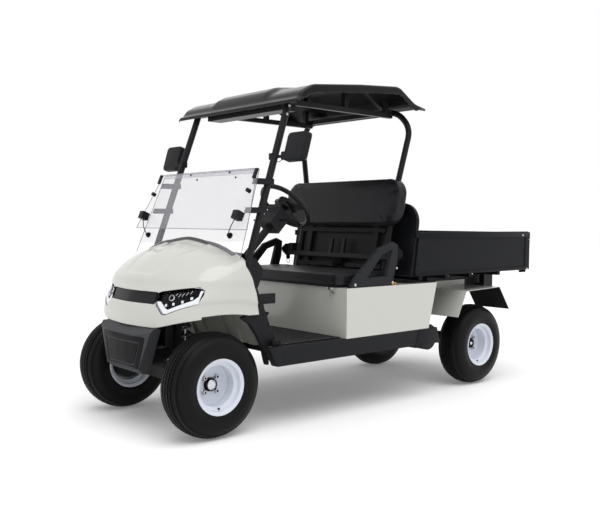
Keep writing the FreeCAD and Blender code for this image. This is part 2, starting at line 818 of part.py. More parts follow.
# Steering knuckles: boss, spindle, backing plate and steering arm
backing_y = f"track / 2 + {drum_back} - drum_depth - backing_gap - backing_plate"
arm_low = "tyre_radius - steering_arm_drop - steering_arm_thick / 2"
ball_x = "front_axle_ahead - steering_arm"
knuckle_solid = join(
    "knuckle_solid",
    rod("knuckle_boss", ("front_axle_ahead", "kingpin_half", "tyre_radius - knuckle_high / 2"),
        "knuckle_radius", "knuckle_high"),
    rod("spindle", ("front_axle_ahead", "kingpin_half", "tyre_radius"), "spindle_radius",
        f"track / 2 + {drum_back} - drum_wall - yoke_gap - kingpin_half", Y),
    rod("backing", ("front_axle_ahead", backing_y, "tyre_radius"), "backing_plate_radius", "backing_plate", Y),
    block("arm", (ball_x, "front_axle_ahead"),
          ("kingpin_half - steering_arm_wide / 2", "kingpin_half + steering_arm_wide / 2"),
          (arm_low, f"{arm_low} + steering_arm_thick")),
    rod("arm_end", (ball_x, "kingpin_half", arm_low), "tie_rod_end_radius", "steering_arm_thick"),
)
knuckle = cut("knuckle_bored", knuckle_solid,
              rod("kingpin_bore", ("front_axle_ahead", "kingpin_half", "tyre_radius - knuckle_high"),
                  "kingpin_radius + shaft_clearance", "2 * knuckle_high"),
              rod("ball_bore", (ball_x, "kingpin_half", f"{arm_low} - steering_arm_thick"),
                  "ball_pin_radius + seat_gap", "3 * steering_arm_thick"))
node("left_knuckle", knuckle)
node("right_knuckle", flip("right_knuckle_set", knuckle))

# Tie rod with a ball pin at each end
rod_end_high = "2 * tie_rod_radius"
rod_end_low = f"{arm_low} - seat_gap - {rod_end_high}"
tie_end = join("tie_end",
               rod("tie_end_boss", (ball_x, "kingpin_half", rod_end_low), "tie_rod_end_radius", rod_end_high),
               rod("tie_pin", (ball_x, "kingpin_half", rod_end_low), "ball_pin_radius",
                   f"{rod_end_high} + 2 * steering_arm_thick"))
node("tie_rod", join("tie_rod_set", tie_end, flip("tie_end_right", tie_end),
                     rod("tie_bar", (ball_x, "-kingpin_half", f"{rod_end_low} + tie_rod_radius"),
                         "tie_rod_radius", "2 * kingpin_half", Y)))

# Rear axle: tubes, gear case and motor
half_axle = join("half_axle",
                 rod("axle_tube", (REAR_AXLE, "0", "tyre_radius"), "axle_tube_radius", backing_y, Y),
                 rod("rear_backing", (REAR_AXLE, backing_y, "tyre_radius"), "backing_plate_radius", "backing_plate", Y),
                 rod("rear_spindle", (REAR_AXLE, "0", "tyre_radius"), "spindle_radius",
                     f"track / 2 + {drum_back} - drum_wall - yoke_gap", Y))
motor_x = f"({REAR_AXLE} + motor_ahead)"
node("rear_axle", join("rear_axle_set", half_axle, flip("half_axle_right", half_axle),
                       rod("gear_case", (REAR_AXLE, "-gear_case_wide / 2", "tyre_radius"),
                           "gear_case_radius", "gear_case_wide", Y),
                       block("gear_arm", (REAR_AXLE, motor_x), ("-gear_case_wide / 2", "gear_case_wide / 2"),
                             ("tyre_radius - axle_tube_radius", "tyre_radius + axle_tube_radius")),
                       rod("motor", (motor_x, "-motor_long / 2", "tyre_radius + motor_raise"),
                           "motor_radius", "motor_long", Y)))


# Rear leaf springs: curved leaves on a seat, with an eye at each hanger
def leaf_spring():
    half, rise, low = d.leaf_span / 2, d.leaf_rise, reckon(leaf_low)
    middle = reckon(REAR_AXLE)
    left_y = d.leaf_half - d.leaf_wide / 2
    wide = Vector(0, d.leaf_wide, 0)
    solids = []
    for leaf in range(int(d.leaf_count)):
        reach = half * (1 - leaf / (d.leaf_count + 1))
        droop = rise * (reach / half) ** 2
        base = low + (d.leaf_count - 1 - leaf) * d.leaf_thick
        bow = [Vector(middle + side_sign * reach, left_y, base + lift) for side_sign, lift in
               ((-1, droop), (0, 0), (1, droop))]
        under = Part.Arc(*bow).toShape()
        over = Part.Arc(*[point + Vector(0, 0, d.leaf_thick) for point in bow]).toShape()
        ends = [Part.makeLine(under.valueAt(at), over.valueAt(at)) for at in (under.FirstParameter, under.LastParameter)]
        solids.append(Part.Face(Part.Wire([under, ends[1], over, ends[0]])).extrude(wide))
    for end in (-1, 1):
        eye = Vector(middle + end * half, left_y, low + rise)
        solids.append(Part.makeCylinder(d.leaf_eye_radius, d.leaf_wide, eye, Y))
    solids.append(Part.makeBox(2 * d.axle_beam, d.leaf_wide, d.leaf_seat,
                               Vector(middle - d.axle_beam, left_y, low - d.leaf_seat)))
    return solids[0].fuse(solids[1:])


node("rear_springs", both_sides("rear_spring_pair", shape("rear_spring", leaf_spring())))

# Floor pan: steel sheet, ribbed mat and ribbed toe board
mat_low = f"{rail_top} + floor_sheet"
mat_top = f"({mat_low} + mat_thick)"
floor_parts = [
    block("floor_plate", ("box_front", "floor_front"), ("-floor_half", "floor_half"), (rail_top, mat_low)),
    block("mat", ("box_front", "floor_front - mat_rib_pitch"), ("-floor_half", "floor_half"), (mat_low, mat_top)),
]
rib_count = int((d.floor_front - d.box_front - 2 * d.mat_rib_pitch) / d.mat_rib_pitch)
for rib in range(rib_count):
    start = f"box_front + ({rib} + 0.5) * mat_rib_pitch"
    floor_parts.append(block(f"mat_rib_{rib}", (start, f"{start} + mat_rib_wide"),
                             ("-floor_half + 2 * mat_rib_pitch", "floor_half - 2 * mat_rib_pitch"),
                             (mat_top, f"{mat_top} + mat_rib_high")))
toe_loop = [("floor_front", rail_top), ("toe_board_top_ahead", "toe_board_top"),
            ("toe_board_top_ahead - toe_board_sheet", "toe_board_top"),
            ("floor_front - toe_board_sheet", rail_top)]
floor_parts.append(plate("toe_board", "XZ", "-toe_board_half", "2 * toe_board_half", toe_loop))
rib_loop = [("floor_front", rail_top), ("toe_board_top_ahead", "toe_board_top"),
            ("toe_board_top_ahead + toe_rib_high", "toe_board_top"),
            ("floor_front + toe_rib_high", rail_top)]
TOE_RIB_SHARES = (-0.86, -0.58, -0.3, 0.16, 0.44, 0.72)
for number, share in enumerate(TOE_RIB_SHARES):
    floor_parts.append(plate(f"toe_rib_{number}", "XZ", f"{share} * toe_board_half", "toe_rib_wide", rib_loop))
node("floor_pan", join("floor_pan_set", *floor_parts))

# Sills: folded box sections with a slanted rear end
SILL_REAR_SHARE = 0.35
sill_top = "sill_bottom + sill_high"
sill_loop = [("sill_front", "sill_bottom"), ("sill_front", sill_top), ("sill_rear", sill_top),
             (f"sill_rear - {SILL_REAR_SHARE} * sill_high", "sill_bottom")]
sill_hollow = [("sill_front + sill_wall", "sill_bottom + sill_wall"), ("sill_front + sill_wall", f"{sill_top} - sill_wall"),
               ("sill_rear - sill_high", f"{sill_top} - sill_wall"), ("sill_rear - sill_high", "sill_bottom + sill_wall")]
sill = cut("sill", plate("sill_outer", "XZ", "floor_half", "sill_wide", sill_loop),
           plate("sill_inner", "XZ", "floor_half + sill_wall", "sill_wide - 2 * sill_wall", sill_hollow))
node("sills", both_sides("sill_pair", sill))

# Side panels between cowl and sill, with the step that carries the strut's foot
PANEL_SHOE_SHARE = 0.278
PANEL_SHARES = ((0.0, PANEL_SHOE_SHARE), (0.24, PANEL_SHOE_SHARE), (0.24, 0.0), (0.3, 0.0), (0.35, 0.095), (0.42, 0.26),
                (0.574, 0.434), (0.78, 0.6), (1.0, 0.69), (0.72, 0.76), (0.7, 1.0), (0.465, 1.0), (0.38, 0.8),
                (0.174, 0.496))
panel = plate("side_panel", "XZ", "side_panel_out - side_panel_thick", "side_panel_thick",
              spread(PANEL_SHARES, "side_panel_rear", "side_panel_long", "sill_bottom", "side_panel_high"))
panel_step = block("panel_step", ("side_panel_rear + side_panel_thick / 2", "side_panel_rear + side_panel_thick * 4"),
                   ("side_panel_out - side_panel_thick", "side_panel_out"),
                   ("sill_bottom + side_panel_high - side_panel_thick * 2", "sill_bottom + side_panel_high"))
panel_shoe = block("panel_shoe", ("side_panel_rear", "floor_front"),
                   ("side_panel_out - side_panel_thick", "floor_half"),
                   (f"sill_bottom + {PANEL_SHOE_SHARE} * side_panel_high", f"{mat_top} + side_panel_thick"))
side_panel = join("side_panel_set", panel, panel_step, panel_shoe)
node("side_panels", both_sides("side_panel_pair", side_panel))

# Seat box: folded sheet, open below, with a lid opening over the battery
box_loop = [("box_front", sill_top), ("box_front", "box_top"), ("box_rear_top", "box_top"), ("box_rear_bottom", sill_top)]
box_hollow = [("box_front - sheet", "sill_bottom"), ("box_front - sheet", "box_top - sheet"),
              ("box_rear_top + sheet", "box_top - sheet"), ("box_rear_bottom + sheet", "sill_bottom")]
hinge_x = "(box_front + seat_hinge_ahead)"
hinge_z = "(box_top - seat_hinge_drop)"
lid_opening = block("lid_opening", ("lid_opening_rear", "box_front - lid_opening_margin"),
                    ("-lid_opening_half", "lid_opening_half"), ("box_top - 2 * sheet", "box_top + sheet"))
box_shell = cut("seat_box_shell", plate("box_outer", "XZ", "-body_half", "2 * body_half", box_loop),
                plate("box_inner", "XZ", "-body_half + sheet", "2 * (body_half - sheet)", box_hollow), lid_opening)
hinge_pins = []
for hinge_side in ("-", ""):
    middle = f"({hinge_side}seat_hinge_half)"
    hinge_pins.append(rod(f"hinge_pin{hinge_side and '_right'}", (hinge_x, f"{middle} - hinge_leaf * 1.5", hinge_z),
                          "seat_hinge_radius", "3 * hinge_leaf", Y))
    for number, ear_start in enumerate(("-1.5 * hinge_leaf", "hinge_leaf / 2 + seat_gap")):
        ear_y = (f"{middle} + {ear_start}", f"{middle} + {ear_start} + hinge_leaf - seat_gap")
        hinge_pins.append(rod(f"hinge_ear_{number}{hinge_side and '_right'}", (hinge_x, ear_y[0], hinge_z),
                              "seat_hinge_drop", "hinge_leaf - seat_gap", Y))
        hinge_pins.append(block(f"hinge_leaf_{number}{hinge_side and '_right'}", ("box_front", hinge_x), ear_y,
                                (f"{hinge_z} - hinge_ear", hinge_z)))
node("seat_box", join("seat_box_set", box_shell, *hinge_pins))

# Battery pack: one plain block on the rails
node("battery_pack", block("battery", ("battery_rear", "battery_front"), ("-battery_half", "battery_half"),
                           (rail_top, f"{rail_top} + battery_high")))

# Seat: a plywood board with hinge lugs, and a padded cushion on it
board_low = "box_top + seat_gap * 3"
board_top = f"({board_low} + seat_board)"
lugs = []
for hinge_side in ("-", ""):
    middle = f"({hinge_side}seat_hinge_half)"
    lug_y = (f"{middle} - hinge_leaf / 2 + seat_gap", f"{middle} + hinge_leaf / 2 - seat_gap")
    lugs.append(rod(f"seat_lug{hinge_side and '_right'}", (hinge_x, lug_y[0], hinge_z),
                    "seat_hinge_drop", "hinge_leaf - 2 * seat_gap", Y))
    lugs.append(block(f"seat_lug_neck{hinge_side and '_right'}", ("box_front + seat_gap", f"{hinge_x} + seat_hinge_radius"),
                      lug_y, (hinge_z, board_top)))
board = block("board", ("seat_rear + seat_board_margin", "seat_front - seat_board_margin + seat_hinge_radius"),
              ("-seat_board_half", "seat_board_half"), (board_low, board_top))
pin_bore = rod("seat_pin_bore", (hinge_x, "-seat_half", hinge_z), "seat_hinge_radius + shaft_clearance",
               "2 * seat_half", Y)
node("seat_board", cut("seat_board_set", join("seat_board_solid", board, *lugs), pin_bore))
cushion_loop = [("seat_rear", "-seat_half"), ("seat_front", "-seat_half"), ("seat_front", "seat_half"), ("seat_rear", "seat_half")]
cushion = plate("seat_cushion_body", "XY", board_top, "seat_thick", cushion_loop)
rounded(cushion, "seat_round * 2", lambda edge: along(edge, Z))
rounded(cushion, "seat_round", lambda edge: across(edge, Z) and edge.CenterOfMass.z > d.seat_thick / 2)
node("seat_cushion", cushion)

# Hip restraints: three-cornered castings on the seat box
HIP_SHARES = ((1.0, 0.0), (1.0, 0.03), (0.932, 0.152), (0.482, 0.75), (0.41, 0.86), (0.122, 1.0), (0.0, 0.918),
              (0.018, 0.527), (0.132, 0.0))
HIP_OPENING_SHARES = ((0.652, 0.2), (0.335, 0.71), (0.142, 0.808), (0.252, 0.219))
hip = plate("hip_casting", "XZ", "hip_out - hip_thick", "hip_thick",
            spread(HIP_SHARES, "hip_rear", "hip_long", "box_top", "hip_high"),
            spread(HIP_OPENING_SHARES, "hip_rear", "hip_long", "box_top", "hip_high"))
rounded(hip, "hip_round", lambda edge: across(edge, Y))
node("hip_restraints", both_sides("hip_pair", hip))


def lean_x(high, behind):
    """Place ahead of a point that lies behind the back rest's middle plane, at a height."""
    return (f"(back_middle_ahead + (back_middle - ({high})) * tan(back_lean_deg)"
            f" - ({behind}) / cos(back_lean_deg))")


def lean_plate(name, low, high, behind, deep, start, wide):
    """A bar or sheet that leans with the seat back, between two heights."""
    corners = [(lean_x(low, behind), low), (lean_x(low, f"{behind} + {deep}"), low),
               (lean_x(high, f"{behind} + {deep}"), high), (lean_x(high, behind), high)]
    return plate(name, "XZ", start, wide, corners)


# Seat back frame: leaning posts, cross bars and a panel between the seat and the rest
rest_back = "back_thick / 2"
back_parts = [lean_plate("back_panel", "back_panel_low", "back_panel_high", f"{rest_back} + back_post_deep",
                         "sheet", "-back_panel_half", "2 * back_panel_half")]
for number, post_y in enumerate(("-back_post_half", "back_post_half")):
    back_parts.append(lean_plate(f"back_post_{number}", "box_top", "back_post_top", rest_back, "back_post_deep",
                                 f"{post_y} - back_post_wide / 2", "back_post_wide"))
for number, bar_low in enumerate(("back_panel_low", "back_panel_high - back_bar")):
    back_parts.append(lean_plate(f"back_bar_{number}", bar_low, f"{bar_low} + back_bar", rest_back,
                                 "back_post_deep", "-back_panel_half", "2 * back_panel_half"))
node("seat_back_frame", join("seat_back_set", *back_parts))

# Belt bar with two retractors and two buckles, on the front of the posts
belt_front = f"{rest_back} - belt_bar_tube"
belt_top = "belt_bar_high + belt_bar_tube"
belt_parts = [lean_plate("belt_bar", "belt_bar_high", belt_top, belt_front, "belt_bar_tube",
                         "-belt_bar_half", "2 * belt_bar_half")]
for number, at in enumerate(("-belt_bar_half", "belt_bar_half - retractor_wide")):
    belt_parts.append(lean_plate(f"retractor_{number}", "belt_bar_high", "belt_bar_high + retractor_high",
                                 f"{belt_front}", "retractor_deep", at, "retractor_wide"))
for number, at in enumerate(("-buckle_half", "buckle_half")):
    belt_parts.append(lean_plate(f"buckle_{number}", belt_top, f"{belt_top} + buckle_high", f"{belt_front}",
                                 "buckle_deep", f"{at} - buckle_wide / 2", "buckle_wide"))
node("belt_bar", join("belt_bar_set", *belt_parts))

# Back rest cushion: drawn upright about its middle, rounded, then leaned back
rest_loop = [("-back_half", "-back_high / 2"), ("back_half", "-back_high / 2"),
             ("back_half", "back_high / 2"), ("-back_half", "back_high / 2")]
rest = plate("back_rest", "YZ", "back_middle_ahead", "back_thick", rest_loop)
rounded(rest, "back_corner", lambda edge: along(edge, X))
rounded(rest, "back_round", lambda edge: across(edge, X))
rest.Placement.Rotation = Rotation(Y, -d.back_lean_deg)
bind(rest, x="back_middle_ahead - back_thick / 2 * cos(back_lean_deg)",
     z="back_middle - back_thick / 2 * sin(back_lean_deg)")
node("backrest_cushion", rest)

# Roof hoop behind the seat: one bent tube from side to side
hoop_x = [reckon(lean_x(high, "back_thick / 2 + hoop_radius + seat_gap")) for high in ("box_top", "hoop_waist_high")]
hoop_half = [Vector(hoop_x[0], d.hoop_low_half, d.box_top), Vector(hoop_x[1], d.hoop_low_half, d.hoop_waist_high),
             Vector(d.hoop_wide_ahead, d.hoop_wide_half, d.hoop_wide_high),
             Vector(d.hoop_top_ahead, d.hoop_top_half, d.hoop_top_high)]
hoop_points = hoop_half + [Vector(point.x, -point.y, point.z) for point in reversed(hoop_half)]
hoop_raw = tube("hoop_tube", hoop_points, "hoop_radius", d.hoop_bend)
hoop_floor = block("hoop_floor", ("roof_rear", "box_front"), ("-body_half", "body_half"), ("0", "box_top"))
node("rear_roof_hoop", cut("hoop_cut", hoop_raw, hoop_floor))

# Front struts: bent tubes from the side panels to the roof
strut_points = [Vector(d.strut_top_ahead, d.strut_top_half, d.strut_top_high),
                Vector(d.strut_knee_ahead, d.strut_low_half, d.strut_knee_high),
                Vector(d.strut_bow_ahead, d.strut_low_half, d.strut_bow_high),
                Vector(d.strut_foot_ahead, d.strut_low_half, d.sill_bottom + d.side_panel_high)]
strut_raw = tube("strut_tube", strut_points, "strut_radius", d.strut_bend)
panel_top = "sill_bottom + side_panel_high"
strut_box = block("strut_box", ("0", "bumper_front"), ("0", "body_half"), (panel_top, "strut_top_high"))
strut = common("strut_trim", strut_raw, strut_box)
node("front_struts", both_sides("front_strut_pair", strut))
strut_room = tube("strut_room", strut_points, "strut_radius + seat_gap", d.strut_bend)

# Roof: an arched sheet with skirts, a raised middle, bearers and a front header
ROOF_SHARES = ((0.0, 0.346), (0.085, 0.444), (0.2227, 1.0), (0.5276, 0.8366), (0.876, 0.575), (0.9535, 0.3),
               (0.975, 0.06), (1.0, 0.0))
ROOF_SKIRT_SHARES = ((0.085, 0.444), (0.9535, 0.3))
roof_top = spread(ROOF_SHARES, "roof_rear", "roof_long", "roof_low", "roof_rise")


def roof_slice(name, start, wide, raise_by, drop, first=0, last=len(ROOF_SHARES)):
    """A slice of the roof's arch between two places across the cart."""
    over = [(x, f"{z} + {raise_by}") for x, z in roof_top[first:last]]
    under = [(x, f"{z} - {drop}") for x, z in reversed(roof_top[first:last])]
    return plate(name, "XZ", start, wide, over + under)


roof_arch = roof_slice("roof_arch", "-roof_half", "2 * roof_half", "0", "roof_sheet")
roof_parts = [roof_arch,
              block("roof_lip", ("roof_rear + roof_long - roof_sheet", "roof_rear + roof_long"),
                    ("-roof_half", "roof_half"), ("roof_low - roof_lip_high", "roof_low")),
              roof_slice("roof_middle", "-roof_centre_half", "2 * roof_centre_half", "roof_centre_rise", "0",
                         1, len(ROOF_SHARES) - 1)]
skirt_start, skirt_end = [ROOF_SHARES.index(shares) for shares in ROOF_SKIRT_SHARES]
for hand, skirt_y in (("left", "roof_half - roof_sheet"), ("right", "-roof_half")):
    roof_parts += [
        roof_slice(f"roof_skirt_{hand}", skirt_y, "roof_sheet", "0", "roof_skirt", skirt_start, skirt_end + 1),
        roof_slice(f"roof_front_corner_{hand}", skirt_y, "roof_sheet", "0", "roof_lip_high", skirt_end),
        roof_slice(f"roof_rear_corner_{hand}", skirt_y, "roof_sheet", "0", "roof_lip_high", 0, skirt_start + 1),
    ]
node("roof", join("roof_set", *roof_parts))

under_roof_loop = [(x, f"{z} - roof_sheet") for x, z in roof_top]
under_roof_loop += [("roof_rear + roof_long", "back_middle"), ("roof_rear", "back_middle")]
under_roof = plate("under_roof", "XZ", "-roof_half + roof_sheet", "2 * (roof_half - roof_sheet)", under_roof_loop)
bearer_low = "strut_top_high"
bearer_in, bearer_out = "(roof_bearer_half - roof_bearer / 2)", "(roof_bearer_half + roof_bearer / 2)"
header_front = "(header_ahead + header_deep)"
bearer_rear = "(hoop_top_ahead + hoop_radius)"
BEARER_POST_SHARES = (0.05, 0.5, 0.88)
left_bearer = [
    block("bearer", (f"{bearer_rear} + seat_gap", header_front), (bearer_in, bearer_out),
          (bearer_low, f"{bearer_low} + roof_bearer")),
    block("strut_end", (f"{header_front} - roof_bearer", "strut_top_ahead + strut_radius"),
          (bearer_out, "strut_top_half + strut_radius"), (bearer_low, f"{bearer_low} + roof_bearer / 2")),
]
for number, share in enumerate(BEARER_POST_SHARES):
    post_start = f"{bearer_rear} + {share} * (header_ahead - {bearer_rear})"
    post_box = block(f"bearer_post_{number}_box", (post_start, f"{post_start} + roof_bearer"),
                     (bearer_in, bearer_out), (bearer_low, "roof_low + roof_rise"))
    left_bearer.append(common(f"bearer_post_{number}", under_roof, post_box))
bearer_left = join("bearer_left", *left_bearer)
header = common("header", under_roof,
                block("header_box", ("header_ahead", header_front), (f"-{bearer_in}", bearer_in),
                      ("strut_top_high - header_high", "roof_low + roof_rise")))
hoop_bar = block("hoop_bar", (f"{bearer_rear} + seat_gap", f"{bearer_rear} + roof_bearer"),
                 (f"-{bearer_out}", bearer_out),
                 ("hoop_top_high - roof_bearer / 2", "hoop_top_high + roof_bearer / 2"))
node("roof_bearers", join("roof_bearer_set", bearer_left, flip("bearer_right", bearer_left), header, hoop_bar))

# Front cowl: sections that fan out about a line across the cart, each a squared half ring
COWL_SHARES = ((0.033, 0.968), (0.061, 0.972), (0.131, 0.988), (0.184, 0.993), (0.238, 1.0), (0.299, 1.0),
               (0.359, 0.992), (0.418, 0.977), (0.489, 0.955), (0.573, 0.916), (0.647, 0.887), (0.713, 0.867),
               (0.867, 0.819), (1.0, 0.78))
COWL_FALLS = (0.13, 0.2)
COWL_SQUARES = (6, 11)
COWL_STEPS = 18


def cowl_surface(inset):
    """The cowl's surface moved in by an inset, as points in sections from the nose to the windscreen."""
    rows = []
    for turn_share, reach_share in COWL_SHARES:
        square = COWL_SQUARES[0] + turn_share * (COWL_SQUARES[1] - COWL_SQUARES[0])
        fall = COWL_FALLS[0] + turn_share * (COWL_FALLS[1] - COWL_FALLS[0])
        turn = turn_share * math.pi / 2
        reach, half = reach_share * d.cowl_reach - inset, d.cowl_half - inset
        last = math.atan2(reach * (1 - fall), d.cowl_foot)
        row = []
        for step in range(-COWL_STEPS, COWL_STEPS + 1):
            swing = last * abs(step) / COWL_STEPS
            ring = (math.sin(swing) ** square + math.cos(swing) ** square) ** (-1 / square)
            side_share = ring * math.sin(swing)
            out = reach * ring * math.cos(swing) * (1 - fall * side_share ** 1.5)
            row.append(Vector(d.cowl_pivot_ahead + out * math.cos(turn), math.copysign(half * side_share, step),
                              d.cowl_pivot_high + out * math.sin(turn)))
        rows.append(row)
    surface = Part.BSplineSurface()
    surface.interpolate(rows)
    return surface.toShape()


def cowl_skin(outer_inset, inner_inset):
    """The solid between the cowl's surface at one inset and at another."""
    outside, inside = cowl_surface(outer_inset), cowl_surface(inner_inset)
    walls = []
    for edge in outside.Edges:
        middle = edge.valueAt((edge.FirstParameter + edge.LastParameter) / 2)
        other = min(inside.Edges, key=lambda rim: middle.distanceToPoint(
            rim.valueAt((rim.FirstParameter + rim.LastParameter) / 2)))
        walls.append(Part.makeRuledSurface(edge, other))
    skin = Part.Shell([outside, inside] + walls)
    skin.sewShape()
    return Part.Solid(Part.Shell(skin.Faces))


def beyond(name, loop):
    """A prism across the whole cart, from an outline seen from the side."""
    return plate(name, "XZ", "-2 * body_half", "4 * body_half", loop)


cowl_rear_loop = [("0", "0"), ("cowl_rear_bottom_ahead", "0"), ("cowl_rear_bottom_ahead", "cowl_rear_bottom"),
                  ("(cowl_rear_bottom_ahead + cowl_rear_top_ahead) / 2", "(cowl_rear_bottom + 2 * cowl_rear_high) / 3"),
                  ("cowl_rear_top_ahead", "cowl_rear_high"), ("cowl_rear_top_ahead", "2 * cowl_rear_high"),
                  ("0", "2 * cowl_rear_high")]
cowl_lip_loop = [("-cowl_corner_half", "cowl_corner_high"), ("-cowl_lip_half", "cowl_lip"), ("cowl_lip_half", "cowl_lip"),
                 ("cowl_corner_half", "cowl_corner_high"), ("2 * cowl_half", "cowl_corner_high"),
                 ("2 * cowl_half", "0"), ("-2 * cowl_half", "0"), ("-2 * cowl_half", "cowl_corner_high")]
cowl_rear = beyond("cowl_rear", cowl_rear_loop)
cowl_below = plate("cowl_below", "YZ", "0", "2 * bumper_front", cowl_lip_loop)
cowl_arch = rod("cowl_arch", ("cowl_arch_ahead", "cowl_corner_half - cowl_bracket_wide",
                              "cowl_arch_high - cowl_arch_radius"), "cowl_arch_radius", "cowl_room", Y)
arch_pair = both_sides("cowl_arch_pair", cowl_arch)
grille_window = block("grille_window", ("front_axle_ahead", "2 * bumper_front"), ("-grille_half", "grille_half"),
                      ("grille_low", "grille_low + grille_high"))
LAMP_SHARES = ((0.0, 0.4), (0.0, 0.74), (0.12, 0.8), (0.9, 1.0), (1.0, 0.88), (0.97, 0.43), (0.36, 0.0),
               (0.25, 0.0))
lamp_loop = spread(LAMP_SHARES, "lamp_inner", "lamp_long", "lamp_low", "lamp_high")
lamp_window = plate("lamp_window", "YZ", "front_axle_ahead - cowl_room", "2 * cowl_room", lamp_loop)
lamp_windows = both_sides("lamp_windows", lamp_window)
cowl_shell = cut("cowl_shell", shape("cowl_skin", cowl_skin(0, d.cowl_wall)), cowl_rear, cowl_below, arch_pair,
                 grille_window, lamp_windows, both_sides("strut_rooms", strut_room))
cowl_room = shape("cowl_room", cowl_skin(d.cowl_wall / 2, d.cowl_room))
bracket_box = block("cowl_bracket_box", ("front_axle_ahead - tower_tube / 2", "front_axle_ahead + tower_tube / 2"),
                    ("cowl_bracket_half - cowl_bracket_wide / 2", "cowl_bracket_half + cowl_bracket_wide / 2"),
                    ("tower_high + tower_tube", "cowl_rear_high"))
cowl_bracket = common("cowl_bracket", bracket_box, cowl_room)
node("front_cowl", join("front_cowl_set", cowl_shell, cowl_bracket, flip("cowl_bracket_right", cowl_bracket)))

# Grille and headlamps: slices of the cowl's own curve behind their windows
behind_skin = d.cowl_wall + d.seat_gap
grille_box = block("grille_box", ("front_axle_ahead", "2 * bumper_front"),
                   ("-grille_half - cowl_wall / 2", "grille_half + cowl_wall / 2"),
                   ("grille_low - 2 * cowl_wall", "grille_low + grille_high + 2 * cowl_wall"))
node("grille", common("grille_set", shape("grille_skin", cowl_skin(behind_skin, behind_skin + d.cowl_wall)), grille_box))
lamp_skin = shape("lamp_skin", cowl_skin(behind_skin, behind_skin + d.lamp_thick))
lamp_grown = plate("lamp_grown", "YZ", "front_axle_ahead - cowl_room", "2 * cowl_room",
                   spread(LAMP_SHARES, "lamp_inner - lamp_gap", "(lamp_long + 2 * lamp_gap)",
                          "lamp_low - lamp_gap", "(lamp_high + 2 * lamp_gap)"))
lamp_inside = block("lamp_inside", ("front_axle_ahead - cowl_room", "2 * bumper_front"),
                    ("0", "cowl_half - cowl_wall - lamp_thick"), ("lamp_low - lamp_gap", "lamp_low + lamp_high + lamp_gap"))
lamp = common("lamp", lamp_skin, lamp_grown, lamp_inside)
node("headlamps", both_sides("lamp_pair", lamp))


# Front bumper: a bowed shell, open behind, on two lugs from the rails
def bumper_hull(name, inset):
    """The bumper's outside form moved in by a wall."""
    front = [(f"-bumper_low_half + {inset}", f"bumper_bottom + {inset}"), (f"bumper_low_half - {inset}", f"bumper_bottom + {inset}"),
             (f"bumper_half - {inset}", f"bumper_bottom + bumper_high - {inset}"),
             (f"-bumper_half + {inset}", f"bumper_bottom + bumper_high - {inset}")]
    BUMPER_SHARES = ((0.0, 0.0), (0.422, 0.0), (0.95, 0.142), (1.0, 0.3), (1.0, 0.7), (0.93, 0.835), (0.5, 1.0), (0.0, 1.0))
    profile = spread(BUMPER_SHARES, "bumper_rear", f"(bumper_front - bumper_rear - {inset})",
                     f"bumper_bottom + {inset}", f"(bumper_high - 2 * {inset})")
    plan = [("bumper_rear", "-bumper_half"), (f"bumper_front - bumper_bow - {inset}", "-bumper_half"),
            (f"bumper_front - bumper_bow / 4 - {inset}", "-bumper_half / 2"), (f"bumper_front - {inset}", "-bumper_half / 6"),
            (f"bumper_front - {inset}", "bumper_half / 6"), (f"bumper_front - bumper_bow / 4 - {inset}", "bumper_half / 2"),
            (f"bumper_front - bumper_bow - {inset}", "bumper_half"), ("bumper_rear", "bumper_half")]
    return common(name, plate(f"{name}_front", "YZ", "bumper_rear", "bumper_front - bumper_rear", front),
                  plate(f"{name}_profile", "XZ", "-bumper_half", "2 * bumper_half", profile),
                  plate(f"{name}_plan", "XY", "bumper_bottom", "bumper_high", plan))


bumper_outside = bumper_hull("bumper_outside", "0")
bumper_shell = cut("bumper_shell", bumper_outside, bumper_hull("bumper_inside", "bumper_wall"))
bumper_lug = block("bumper_lug", ("rail_front", "bumper_front - bumper_bow / 4 - bumper_wall / 2"), rail_y,
                   ("rail_bottom", "rail_bottom + bumper_lug_high"))
node("front_bumper", join("front_bumper_set", bumper_shell, bumper_lug, flip("bumper_lug_right", bumper_lug)))

# Dashboard: a folded panel with end walls, kept inside the cowl
DASH_SHARES = ((1.0, 1.0), (0.425, 0.93), (0.0, 0.583), (0.0, 0.444), (0.253, 0.074), (0.8, 0.0))
dash_loop = spread(DASH_SHARES, "dash_rear", "(dash_front - dash_rear)", "dash_low", "dash_high")
DASH_INNER_SHARES = ((1.0, 0.977), (0.441, 0.904), (0.036, 0.57), (0.036, 0.458), (0.276, 0.1), (0.8, 0.023))
dash_hollow = spread(DASH_INNER_SHARES, "dash_rear", "(dash_front - dash_rear)", "dash_low", "dash_high")
dash_hollow = [(f"{x} + {'2 * dash_wall' if number in (0, len(dash_hollow) - 1) else '0'}", z)
               for number, (x, z) in enumerate(dash_hollow)]
dash_outer = plate("dash_outer", "XZ", "-dash_half", "2 * dash_half", dash_loop)
dash_inner = plate("dash_inner", "XZ", "-dash_half + dash_wall", "2 * (dash_half - dash_wall)", dash_hollow)
dash_front_cut = block("dash_front_cut", ("dash_front - 7 * dash_wall", "2 * dash_front"),
                       ("-dash_half + dash_wall", "dash_half - dash_wall"), ("dash_low + dash_wall", "dash_low + dash_high - 3 * dash_wall"))


def steer_spot(up, left, out):
    """A place in the steering wheel's own frame: up its face, to the left, and out along the shaft."""
    return (f"steer_ahead + ({up}) * cos(steer_lean_deg) - ({out}) * sin(steer_lean_deg)",
            f"steer_half + ({left})",
            f"steer_high + ({up}) * sin(steer_lean_deg) + ({out}) * cos(steer_lean_deg)")


steer_frame = Rotation(Y, -d.steer_lean_deg)
steer_axis = steer_frame.multVec(Z)


